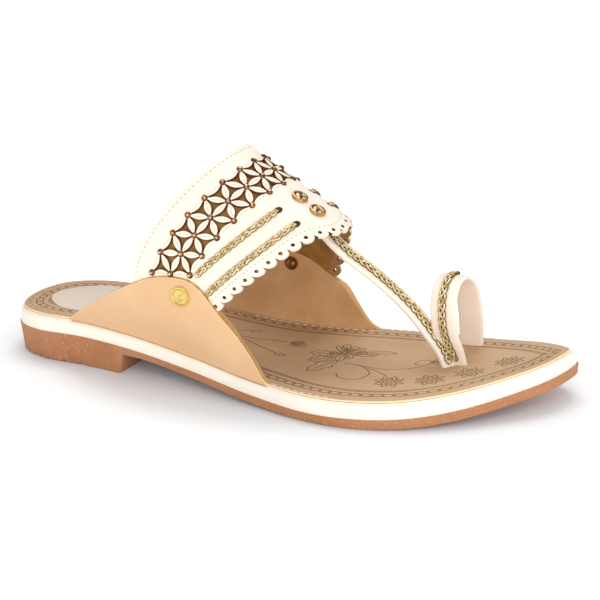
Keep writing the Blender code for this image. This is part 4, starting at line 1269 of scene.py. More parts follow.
@dataclass
class Band:
    """The cream band: petal lattice, scallops, stitches, studs, lining, cords and crystals."""

    upper: Upper
    scallop_count: int = 22
    scallop_depth: float = 0.0027
    scallop_steps: int = 14
    bow: float = 0.0060
    bow_spread: float = 0.012
    bow_shift: float = 0.002
    pitch: float = 0.0096
    margin: float = 0.0097
    end_margin: float = 0.0020
    shift: float = 0.0011
    petal_width: float = 0.0031
    petal_point: float = 1.25
    petal_node: float = 0.00135
    petal_reach: Row = (0.17, 0.83)
    burn: float = 0.00022
    pinhole_radius: float = 0.00078
    pinhole_back: float = 0.0028
    front_zone: float = 0.004
    rear_zone: float = 0.0002
    hole_zone: float = 0.0010
    mesh_step: float = 0.0016
    stud_radius: float = 0.00140
    stud_rise: float = 0.0011
    stud_foot: float = 0.0002
    stud_rim: float = 0.0001
    stud_neck: float = 0.92
    stud_steps: int = 14
    cords: tuple[tuple[str, float, float], ...] = (("rear", 0.0192, 0.0440), ("front", 0.0093, 0.0480))
    cord_start: float = 0.013
    cord_hole_stretch: float = 1.25
    cord_hole_span: Row = (0.0002, 0.001)
    cord_hole: tuple[Row, ...] = (
        (0.0, -0.0003), (0.0017, -0.0003), (0.00175, 0.00010), (0.0015, 0.00018), (0.0013, 0.00008),
        (0.0, 0.00006))
    crystals: tuple[tuple[str, float], ...] = (("rear", 0.0186), ("front", 0.0088))
    crystal_radius: float = 0.0034
    crystal_fill: float = 0.80
    bezel: tuple[Row, ...] = (
        (0.0, 0.0), (1.0, 0.0), (1.02, 0.0007), (0.97, 0.0013), (0.86, 0.00145), (0.79, 0.0011),
        (0.78, 0.0004), (0.0, 0.0004))
    lining_rear: float = 0.0008
    lining_front: float = 0.0060
    lining_tuck: float = 0.06
    stitch_width: float = 0.0004
    stitch_lift: float = 0.00010
    rear_stitch_depth: float = 0.0022
    front_stitch_depth: float = 0.0058
    vein_reach: Row = (0.26, 0.74)
    vein_width: float = 0.00022
    vein_lift: float = 0.00005

    def reach(self, u: Array, scalloped: bool = True) -> Array:
        """How far the front edge stands past its arch: a bell at the crown, less the scallops.

        Args:
            u: shares of the band's length.
            scalloped: whether the scallops are cut.

        Returns:
            The lengths past the arch.
        """
        front_length = chords(self.upper.edges[1])[-1]
        held = np.clip(u, 0.0, 1.0)
        away = ((held - 0.5) * front_length - self.bow_shift) / self.bow_spread
        bow = self.bow * np.exp(-(away**2))
        if not scalloped:
            return bow
        phase = np.mod(held * self.scallop_count, 1.0)
        return bow - self.scallop_depth * (1 - np.sqrt(np.clip(1 - (2 * phase - 1) ** 2, 0.0, 1.0)))

    def nodes(self, row: int) -> tuple[Array, float]:
        """Arcs of one row of studs, and its distance from the rear edge.

        Args:
            row: number of the row, 0 at the rear.

        Returns:
            The arcs and the distance.
        """
        depths, arcs, table = self.upper.arc_table(False)
        line = table[int(np.argmin(np.abs(depths - self.margin)))]
        on_band = arcs[(line > 0) & (line < 1)]
        half = (on_band[-1] - on_band[0]) / 2 - self.shift
        count = 2 * int((half - self.end_margin) / self.pitch) + 1 - row
        arcs = (np.arange(count) - (count - 1) / 2) * self.pitch + self.shift
        return arcs, self.margin + row * self.pitch * np.sqrt(3) / 2

    def studs(self, row: int) -> Array:
        """Places of one row of studs, in arc and depth."""
        arcs, depth = self.nodes(row)
        return np.stack([arcs, np.full(len(arcs), depth)], axis=1)

    def window(self, corners: Array) -> Array:
        """The gap between three petals, in arc and depth.

        Each side is pushed in by half a petal, which swells as a power of a sine between two studs.

        Args:
            corners: the three studs, in arc and depth.

        Returns:
            The gap's edge, a closed line.
        """
        centre = corners.mean(axis=0)
        share = np.linspace(*self.petal_reach, 9)
        loop = []
        for k in range(3):
            node, after = corners[k], corners[(k + 1) % 3]
            loop.append(node + unit(centre - node) * self.petal_node)
            inward = unit(centre - (node + after) / 2)
            swell = self.petal_width / 2 * np.sin(np.pi * share) ** self.petal_point
            loop += list(node + (after - node) * share[:, None] + inward * swell[:, None])
        return np.array(loop)

    def windows(self) -> list[Array]:
        """All gaps of the lattice, in arc and depth.

        Returns:
            The edge of each gap.
        """
        found = []
        for row in range(2):
            top, low = self.studs(row), self.studs(row + 1)
            found += [self.window(np.array([top[k], top[k + 1], low[k]])) for k in range(len(low))]
            found += [self.window(np.array([top[k + 1], low[k + 1], low[k]]))
                      for k in range(len(low) - 1)]
        return found

    def loops(self) -> tuple[list[Array], list[Array]]:
        """Edges of the band laid flat, as u times its length and depth, in millimetres.

        Returns:
            Its outline, windows and pinholes, and the outer limits of the burnt rims round the last two.
        """
        up = self.upper
        past = up.tuck / up.length
        rear_u = np.linspace(-past, 1 + past, 110)
        inner_u = np.linspace(1.0, 0.0, self.scallop_count * self.scallop_steps + 1)
        tail = np.linspace(past, 0.0, 8)[:-1]
        front_u = np.concatenate([1 + tail, inner_u, -tail[::-1]])
        front_depth = up.width(np.clip(front_u, 0, 1)) + self.reach(front_u)
        found = [np.concatenate([np.stack([rear_u, np.zeros_like(rear_u)], 1),
                                 np.stack([front_u, front_depth], 1)])]
        rims = []
        for window in self.windows():
            away = -left_of(headings(window))
            away *= np.sign(np.sum(away * (window - window.mean(axis=0)), axis=1).sum())
            for loops, line in ((found, window), (rims, window + away * self.burn)):
                loops.append(np.stack(up.locate(line[:, 0], line[:, 1]), axis=1))
        ring = angles(12)
        for k in range(self.scallop_count):
            u = (k + 0.5) / self.scallop_count
            depth = up.width(u) + self.reach(u) - self.pinhole_back
            wide = self.pinhole_radius + self.burn * 0.7
            for loops, radius in ((found, self.pinhole_radius), (rims, wide)):
                loops.append(np.stack([u + radius * np.cos(ring) / up.length,
                                       depth + radius * np.sin(ring)], axis=1))
        flat = np.array([up.length * MM, MM])
        return [loop * flat for loop in found], [loop * flat for loop in rims]

    def flat_mesh(self) -> tuple[Array, Array, Array]:
        """Triangulate the band laid flat, with its windows and pinholes left open.

        Returns:
            Points in flat millimetres, triangles, and which triangles lie in a burnt rim.
        """
        cuts, rims = self.loops()
        border, cut_edges = linked(cuts)
        rim_points, rim_edges = linked(rims)
        every = np.concatenate([border, rim_points])
        edges = np.concatenate([cut_edges, rim_edges + len(border)])
        low, high = border.min(axis=0), border.max(axis=0)
        step = self.mesh_step * MM
        row_step = step * 0.866
        gx, gy = np.meshgrid(np.arange(low[0], high[0], step), np.arange(low[1], high[1], row_step))
        gx = gx + step / 2 * (np.arange(gx.shape[0]) % 2)[:, None]
        grid = np.stack([gx.ravel(), gy.ravel()], axis=1)
        grid = grid[even_odd(grid, border[cut_edges])]
        near = np.min(np.linalg.norm(grid[:, None, :] - every[None], axis=2), axis=1)
        grid = grid[near > step / 4]
        points = np.concatenate([every, grid])
        made = delaunay_2d_cdt([Vector(p) for p in points.tolist()], edges.tolist(), [], 0, 1e-5)
        flat = np.array([tuple(p) for p in made[0]])
        faces = np.array([face for face in made[2] if len(face) == 3])
        faces = faces[even_odd(flat[faces].mean(axis=1), border[cut_edges])]
        return flat, faces, even_odd(flat[faces].mean(axis=1), rim_points[rim_edges])

    def pinhole_depth(self, u: Array) -> Array:
        """Depth of the middles of the scallops' pinholes."""
        middle = (np.floor(np.clip(u, 0, 0.9999) * self.scallop_count) + 0.5) / self.scallop_count
        return self.upper.width(middle) + self.reach(middle) - self.pinhole_back

    def form(self) -> Form:
        """The band as a closed sheet: outer face, flesh side and cut edges.

        Returns:
            The band, with a finish number for each kind of face.
        """
        up = self.upper
        flat, faces, burnt = self.flat_mesh()
        u, depth = flat[:, 0] / MM / up.length, flat[:, 1] / MM
        out = up.outward(u, depth)
        middle = up.middle(u, depth)
        half = up.band_wall / 2
        points = np.vstack([middle + out * half, middle - out * half])
        base = len(flat)
        directed = np.concatenate([faces[:, [0, 1]], faces[:, [1, 2]], faces[:, [2, 0]]])
        key = np.sort(directed, axis=1)
        _, first, count = np.unique(key, axis=0, return_index=True, return_counts=True)
        rim = directed[first[count == 1]]
        walls = np.stack([rim[:, 1], rim[:, 0], rim[:, 0] + base, rim[:, 1] + base], axis=1)
        rim_u, rim_depth = u[rim].mean(axis=1), depth[rim].mean(axis=1)
        ahead = rim_depth > up.width(np.clip(rim_u, 0, 1)) - self.front_zone
        behind = rim_depth < self.rear_zone
        hole = ahead & (np.abs(rim_depth - self.pinhole_depth(rim_u)) < self.hole_zone)
        every = [*faces.tolist(), *(faces[:, ::-1] + base).tolist(), *walls.tolist()]
        slots = np.concatenate([np.where(burnt, 2, 0), np.ones(len(faces), int),
                                np.where(hole, 4, np.where(ahead | behind, 3, 2))])
        return Form(points, [tuple(face) for face in every], slots)

    def build(self) -> None:
        """Build the band and everything that it carries."""
        up = self.upper
        piece("instep_band", self.form(), [CREAM, FLESH, CUT_EDGE, SCALLOP_EDGE, HOLE_DARK],
              ["band"])
        self.build_lining()
        self.build_studs()
        self.build_veins()
        self.build_stitches()
        for side in Side:
            for edge, distance, length in self.cords:
                arcs = np.linspace(self.cord_start, self.cord_start + length, 80) * side.value
                Plait().build(f"{side.word}_{edge}", *up.face_at(arcs, distance, True))
        self.build_cord_holes()
        self.build_crystals()

    def build_lining(self) -> None:
        """Build the lining behind the lattice."""
        up = self.upper
        u = np.linspace(-self.lining_tuck, 1 + self.lining_tuck, 150)[:, None]
        share = np.linspace(0.0, 1.0, 14)[None, :]
        width = up.width(np.clip(u, 0, 1)) + self.reach(u, False) - self.lining_front
        depth = self.lining_rear + (width - self.lining_rear) * share
        lift = -(up.band_wall / 2 + GAP)
        outer, inner = (up.surface(u + 0 * share, depth, np.full(depth.shape, low))
                        for low in (lift, lift - up.lining_wall))
        sections = np.concatenate([outer, inner[:, ::-1]], axis=1)
        piece("lining_sheet", tube(sections), [LINING], ["band_lining"])

    def build_studs(self) -> None:
        """Build the domed studs on the lattice's nodes."""
        up = self.upper
        r, h = self.stud_radius, self.stud_rise
        angle = np.linspace(0.0, np.pi / 2, 5)
        profile = [(0.0, -self.stud_foot), (r * self.stud_neck, -self.stud_foot)]
        profile += [(r * float(np.cos(a)), self.stud_rim + h * float(np.sin(a))) for a in angle[:-1]]
        profile += [(0.0, self.stud_rim + h)]
        # The stud's foot wears a painted shade, its dome copper and its crown a painted highlight.
        worn = [1, 1, 1, 0, 0, 2]
        forms = []
        for row in range(3):
            arcs, distance = self.nodes(row)
            forms += [turned(profile, self.stud_steps, placed(point, out), worn)
                      for point, out in zip(*up.face_at(arcs, distance))]
        piece("lattice_studs", joined(forms), [STUD_COPPER, STUD_FOOT_SHADE, STUD_CROWN_HIGHLIGHT])

    def build_veins(self) -> None:
        """Build the scored line down the middle of each petal."""
        up = self.upper
        share = np.linspace(*self.vein_reach, 6)[:, None]
        forms = []
        rows = [self.studs(row) for row in range(3)]
        pairs = [(row[k], row[k + 1]) for row in rows for k in range(len(row) - 1)]
        for top, low in zip(rows, rows[1:]):
            pairs += [(top[k], low[k]) for k in range(len(low))]
            pairs += [(top[k + 1], low[k]) for k in range(len(low))]
        for a, b in pairs:
            line = a + (b - a) * share
            forms.append(ribbon(*up.face_at(line[:, 0], line[:, 1]), self.vein_width, self.vein_lift))
        piece("petal_veins", joined(forms), [STITCH])

    def build_stitches(self) -> None:
        """Build the stitches behind the rear edge and the pricked line behind the scallops."""
        up = self.upper
        forms = []
        for count, length, depth_of in (
                (62, 0.0013, lambda u: np.full(u.shape, self.rear_stitch_depth)),
                (66, 0.0008, lambda u: up.width(u) + self.reach(u, False) - self.front_stitch_depth)):
            for u in np.linspace(0.01, 0.99, count):
                span = u + np.linspace(-0.5, 0.5, 3) * length / up.length
                depth = depth_of(span)
                forms.append(ribbon(up.surface(span, depth, up.band_wall / 2), up.outward(span, depth),
                                    self.stitch_width, self.stitch_lift))
        piece("band_stitches", joined(forms), [STITCH])

    def build_cord_holes(self) -> None:
        """Build the dark oval holes that the cords go into."""
        up = self.upper
        forms = []
        for side in Side:
            for _, distance, _ in self.cords:
                arc = self.cord_start * side.value
                back, on = self.cord_hole_span
                ends = np.array([arc - back * side.value, arc + on])
                (point, after), (out, _) = up.face_at(ends, distance, True)
                ahead = unit(after - point)
                axes = [ahead * self.cord_hole_stretch, np.cross(out, ahead), out]
                turn = Matrix(np.stack(axes, axis=1).tolist()).to_4x4()
                place = Matrix.Translation(Vector(point)) @ turn
                forms.append(turned(self.cord_hole, 22, place, [0, 0, 0, 1, 1]))
        piece("cord_holes", joined(forms), [SCALLOP_EDGE, HOLE_DARK])

    def build_crystals(self) -> None:
        """Build the two stones with their bezels."""
        bezel = [(self.crystal_radius * share, height) for share, height in self.bezel]
        for name, distance in self.crystals:
            points, out = self.upper.face_at(np.array([0.0]), distance, True)
            place = placed(points[0], out[0])
            stone = stone_cut(self.crystal_radius * self.crystal_fill, place)
            piece(f"crystal_stone_{name}", stone, [AMBER], sharp=0.02)
            piece(f"crystal_bezel_{name}", turned(bezel, 40, place), [BEZEL_GOLD],
                  [f"crystal_{name}"])


def linked(loops: Sequence[Array]) -> tuple[Array, Array]:
    """Points of several closed loops, and the pairs of them that each loop links.

    Args:
        loops: the closed loops, n by 2 each.

    Returns:
        The points, and the numbers of each pair.
    """
    starts = np.cumsum([0] + [len(loop) for loop in loops])
    pairs = [np.stack([np.arange(len(loop)), np.roll(np.arange(len(loop)), -1)], 1) + start
             for loop, start in zip(loops, starts)]
    return np.concatenate(loops), np.concatenate(pairs)


def even_odd(points: Array, edges: Array) -> Array:
    """Which flat points lie inside closed loops, by counting the edges to their right.

    Args:
        points: n by 2.
        edges: m edges by 2 ends by 2.

    Returns:
        True for each point inside.
    """
    inside = np.zeros(len(points), bool)
    a, b = edges[:, 0], edges[:, 1]
    for start in range(0, len(points), 2000):
        block = points[start:start + 2000]
        x, y = block[:, :1], block[:, 1:]
        spans = (a[None, :, 1] > y) != (b[None, :, 1] > y)
        rise = np.where(b[:, 1] == a[:, 1], 1e-12, b[:, 1] - a[:, 1])
        cross = a[None, :, 0] + (y - a[None, :, 1]) * ((b[:, 0] - a[:, 0]) / rise)[None]
        inside[start:start + 2000] = (spans & (x < cross)).sum(axis=1) % 2 == 1
    return inside


def placed(point: Array, out: Array) -> Matrix:
    """Matrix with its origin at a point and its Z axis outwards."""
    return Matrix.Translation(Vector(point)) @ Vector(out).to_track_quat("Z", "Y").to_matrix().to_4x4()


def stone_cut(radius: float, place: Matrix) -> Form:
    """A round stone with a table, eight kites and sixteen lower facets.

    Args:
        radius: radius of the girdle.
        place: matrix from the stone's own axes to the frame.

    Returns:
        The faceted stone.
    """
    sides = 16
    coarse = TURN / 8
    # Share of the radius, corners in the turn, height, and the corners' shift.
    levels = ((0.0, 16, 0.0004, 0.0), (1.0, 16, 0.0008, 0.0), (0.82, 8, 0.00145, 0.0),
              (0.50, 8, 0.0019, coarse / 2))
    rows = []
    for share, count, height, shift in levels:
        angle = angles(sides)
        if count < sides:
            angle = np.round((angle - shift) / coarse) * coarse + shift
        flat = share * radius * np.stack([np.cos(angle), np.sin(angle)])
        rows.append(np.stack([*flat, np.full(sides, height)], axis=1))
    return cleaned(tube(moved_to(place, np.array(rows))))


def cleaned(form: Form) -> Form:
    """Merge a form's doubled points and drop the faces that vanish.

    Args:
        form: the form.

    Returns:
        The same form without doubled points.
    """
    keys = np.round(form.points * 1e7).astype(np.int64)
    _, first, back = np.unique(keys, axis=0, return_index=True, return_inverse=True)
    back = back.reshape(-1)
    faces, worn = [], []
    for face, number in zip(form.faces, form.worn):
        corners = tuple(dict.fromkeys(int(back[k]) for k in face))
        if len(corners) > 2:
            faces.append(corners)
            worn.append(int(number))
    return Form(form.points[first], faces, np.array(worn))


@dataclass(frozen=True)
class Plait:
    """A flat plait of three strands over a dark strip of painted shade.

    A strand's place across is a sine of the way along and its height a sine of twice the way, and
    the three strands are a third of a period apart. Broad says how many times a strand is wider
    than it is tall; the shares are of the plait's height, and of its width for the shade strip's width.
    """

    width: float = 0.0030
    height: float = 0.0014
    period: float = 0.0100
    broad: float = 1.12
    strand_share: float = 0.38
    tip: float = 0.0022
    sink: float = 0.0007
    shade_strip_inset: float = 0.002
    shade_strip_width: float = 0.62
    shade_strip_share: float = 0.209
    sides: int = 9
    steps: int = 16

    def build(self, name: str, line: Array, out: Array) -> None:
        """Build the plait along a line.

        Args:
            name: what it lies on, as in the name of its CAD node.
            line: middle of what the plait lies on, n by 3.
            out: direction away from it, n by 3.
        """
        run = chords(line)
        share = np.linspace(0.0, 1.0, int(run[-1] / self.period * self.steps) + 8)
        way = share * run[-1]
        base = read_line(line, share)
        away = unit(read_rows(way, run, out))
        aside = unit(np.cross(away, unit(np.gradient(base, axis=0))))
        radius = self.height * self.strand_share
        taper = ramp(np.minimum(share, 1 - share) * run[-1], 0.0, self.tip) ** 0.5
        around = angles(self.sides)
        forms, maps = [], []
        for k in range(3):
            phase = TURN * (way / self.period + k / 3)
            across = (self.width / 2 - radius * self.broad) * np.sin(phase) * taper
            wave = (self.height / 2 - radius) * (0.6 + np.sin(2 * phase)) * taper
            rise = radius * 0.9 + wave - self.sink * (1 - taper)
            path = base + aside * across[:, None] + away * rise[:, None]
            heading = unit(np.gradient(path, axis=0))
            wide = unit(np.cross(away, heading))
            tall = np.cross(heading, wide)
            ring = (wide[:, None] * np.cos(around)[None, :, None] * self.broad
                    + tall[:, None] * np.sin(around)[None, :, None])
            forms.append(tube(path[:, None] + ring * radius))
            maps.append(np.stack(np.meshgrid(way, around / TURN, indexing="ij"), -1).reshape(-1, 2))
        # A dark strip of painted shade under the strands, seen in the gaps between them.
        inner = (way > self.shade_strip_inset) & ((1 - share) * run[-1] > self.shade_strip_inset)
        shade_strip = ribbon(base[inner], away[inner], self.width * self.shade_strip_width, self.height * self.shade_strip_share)
        shade_strip.worn[:] = 1
        maps.append(np.zeros((len(shade_strip.points), 2)))
        piece(f"plait_{name}", joined([*forms, shade_strip]), [PLAIT_GOLD, PLAIT_SHADE_STRIP],
              [f"cord_{name}"], sharp=1.2, uv=np.vstack(maps))


@dataclass(frozen=True)
class WingSpan:
    """Where a wing starts and ends, and its rivet: share between the feet, and drop from the top."""

    start: float
    end: float
    rivet_share: float
    rivet_drop: float


@dataclass
class Wings:
    """The tan side pieces with their painted edge, and the rivets through them."""

    upper: Upper
    cover: float = 0.0002
    edge_round: float = 0.0005
    rows: int = 26
    columns: int = 150
    pocket_below: float = 0.010
    pocket_ramp: float = 0.008
    seam_width: float = 0.00045
    seam_lift: float = 0.00012
    seam_end: float = 0.002
    seam_rise: float = 0.0002
    seam_off: float = 0.00003
    slope_step: float = 0.001
    rivet_radius: float = 0.0043
    cap_radius: float = 0.0026
    rivet_front: tuple[Row, ...] = (
        (0.0, 0.00060), (0.16, 0.00060), (0.22, 0.00035), (0.34, 0.00035), (0.42, 0.00065),
        (0.70, 0.00060), (0.78, 0.00045), (0.86, 0.00105), (0.94, 0.00110), (1.0, 0.0006),
        (1.0, -0.0002))
    rivet_back: tuple[Row, ...] = (
        (1.15, -0.0002), (1.15, 0.00025), (0.92, 0.00035), (0.84, 0.0002), (0.76, 0.0008),
        (0.55, 0.0013), (0.28, 0.0016), (0.0, 0.0017))
    spans: dict[Side, WingSpan] = field(default_factory=lambda: {
        Side.OUTER: WingSpan(0.140, 0.568, 0.600, 0.0075),
        Side.INNER: WingSpan(0.140, 0.622, 0.600, 0.0066)})
    tops: dict[Side, tuple[Row, ...]] = field(default_factory=lambda: {
        Side.OUTER: (
            (0.00, 0.00), (0.09, 0.20), (0.19, 0.40), (0.31, 0.64), (0.39, 0.78), (0.46, 0.895),
            (0.52, 0.957), (0.583, 0.994), (0.644, 0.994), (0.704, 0.916), (0.768, 0.728),
            (0.83, 0.554), (0.876, 0.394), (0.924, 0.228), (0.963, 0.084), (1.00, 0.00)),
        Side.INNER: (
            (0.00, 0.00), (0.085, 0.20), (0.18, 0.40), (0.29, 0.64), (0.36, 0.77), (0.43, 0.88),
            (0.50, 0.94), (0.57, 0.955), (0.63, 0.905), (0.674, 0.852), (0.731, 0.803),
            (0.767, 0.737), (0.80, 0.652), (0.831, 0.597), (0.861, 0.533), (0.90, 0.348),
            (0.955, 0.093), (1.00, 0.00))})

    def ends(self, side: Side) -> tuple[float, float]:
        """Places on the X axis where a wing starts and ends."""
        span = self.spans[side]
        return float(self.upper.sole.x_of(span.start)), float(self.upper.sole.x_of(span.end))

    def foot(self, x: Array) -> Array:
        """Height of a wing's foot, on the midsole."""
        return self.upper.sole.midsole_top(self.upper.sole.along(x)) + GAP

    def top(self, side: Side, x: Array) -> Array:
        """Height of a wing's top edge.

        Args:
            side: which wing.
            x: places on the X axis.

        Returns:
            The heights over the floor.
        """
        sole, span = self.upper.sole, self.spans[side]
        share = (sole.along(x) - span.start) / (span.end - span.start)
        rise = np.clip(hermite(*zip(*self.tops[side]), share), 0.0, None)
        return sole.gold_line(sole.along(x)) + self.upper.wing_height * rise

    def half_wall(self, side: Side, x: Array, z: Array) -> Array:
        """Half thickness: thicker where the wing takes the band's end between its plies.

        Args:
            side: which wing.
            x: places on the X axis.
            z: heights over the floor.

        Returns:
            Half the wing's thickness there.
        """
        up = self.upper
        rear_foot, front_foot = up.feet(side)
        share = (x - rear_foot[0]) / (front_foot[0] - rear_foot[0])
        line_z = rear_foot[2] + (front_foot[2] - rear_foot[2]) * share
        pocket = up.band_wall / 2 + GAP + up.ply_wall
        deep = ramp(z, line_z - up.tuck - self.pocket_below, self.pocket_ramp)
        part = deep * ramp(share, -0.28, 0.22) * (1 - ramp(share, 1.08, 0.20))
        part = part * part * (3 - 2 * part)
        return up.wing_wall / 2 + (pocket - up.wing_wall / 2) * part

    def form(self, side: Side) -> Form:
        """A wing: rows up its outer face, round its top edge and down its inner face.

        Args:
            side: which wing.

        Returns:
            The closed wing.
        """
        x = np.linspace(*self.ends(side), self.columns)[:, None]
        rows = np.linspace(0.0, 1.0, self.rows)
        bend = np.linspace(0.0, np.pi, 9)[1:-1]
        flat = np.ones(self.rows)
        share = np.concatenate([rows, np.ones(len(bend)), rows[::-1]])[None]
        out = np.concatenate([flat, np.cos(bend), -flat])[None]
        drop = self.edge_round * np.concatenate([flat, 1 - np.sin(bend), flat])[None]
        z = self.foot(x) + (self.top(side, x) - self.foot(x)) * share - drop * share
        x = np.broadcast_to(x, z.shape)
        step = self.slope_step
        ahead, behind = (self.upper.wing_y(side, x + way, z) for way in (step, -step))
        slope = (ahead - behind) / (2 * step)
        normal = unit(np.stack([-slope, np.ones_like(slope), np.zeros_like(slope)], -1)) * side.value
        half = self.half_wall(side, x, z) + np.where(out > 0, self.cover, 0.0)
        points = np.stack([x, self.upper.wing_y(side, x, z), z], -1) + normal * (half * out)[..., None]
        worn = np.zeros(points.shape[1], int)
        worn[self.rows - 1] = 3
        worn[self.rows:] = 1
        worn[self.rows:self.rows + 3] = 2
        return tube(points, worn=worn)

    def seam(self, side: Side) -> Form:
        """A thin brown line of painted shade along a wing's foot, where it meets the rand.

        Args:
            side: which wing.

        Returns:
            The shade line as a thin ribbon.
        """
        start, end = self.ends(side)
        x = np.linspace(start + self.seam_end, end - self.seam_end, 120)
        z = self.foot(x) + self.seam_rise
        face = self.upper.wing_wall / 2 + self.cover + self.seam_off
        y = self.upper.wing_y(side, x, z) + side.value * face
        out = np.tile(np.array([0.0, float(side.value), 0.0]), (len(x), 1))
        return ribbon(np.stack([x, y, z], axis=1), out, self.seam_width, self.seam_lift)

    def rivet_place(self, side: Side) -> Matrix:
        """Matrix of a rivet: its origin in the middle of the band, its Z axis outwards.

        Args:
            side: which wing.

        Returns:
            The matrix from the rivet's own axes to the frame.
        """
        up, span, step = self.upper, self.spans[side], self.slope_step
        rear_foot, front_foot = up.feet(side)
        x = rear_foot[0] + (front_foot[0] - rear_foot[0]) * span.rivet_share
        z = float(self.top(side, x)) - span.rivet_drop
        y = float(up.wing_y(side, x, z))
        rising = np.array([0.0, float(up.wing_y(side, x, z + step)) - y, step])
        ahead = np.array([step, float(up.wing_y(side, x + step, z)) - y, 0.0])
        out = unit(np.cross(ahead, rising))
        return placed(np.array([x, y, z]), out * np.sign(out[1] * side.value))

    def build(self) -> None:
        """Build both wings with the painted shade lines at their feet, and their rivets."""
        face = self.upper.band_wall / 2 + GAP + self.upper.ply_wall + self.cover
        profile = [(self.rivet_radius * share, face + lift) for share, lift in self.rivet_front]
        profile += [(self.cap_radius * share, -face - lift) for share, lift in self.rivet_back]
        worn = [0] * (len(self.rivet_front) - 1) + [1] * len(self.rivet_back)
        for side in Side:
            edge = [EDGE_GOLD, EDGE_PALE] if side is Side.OUTER else [TAN_BACK, TAN]
            piece(f"side_wing_{side.word}", self.form(side), [TAN, TAN_BACK, *edge],
                  [f"wing_{side.word}"])
            # A thin brown line of painted shade along each wing's foot.
            piece(f"wing_seam_{side.word}", self.seam(side), [EDGE_LINE])
            rivet = turned(profile, 40, self.rivet_place(side), worn)
            piece(f"rivet_head_{side.word}", rivet, [RIVET_GOLD, RIVET_DARK],
                  [f"rivet_{side.word}"], sharp=0.9)


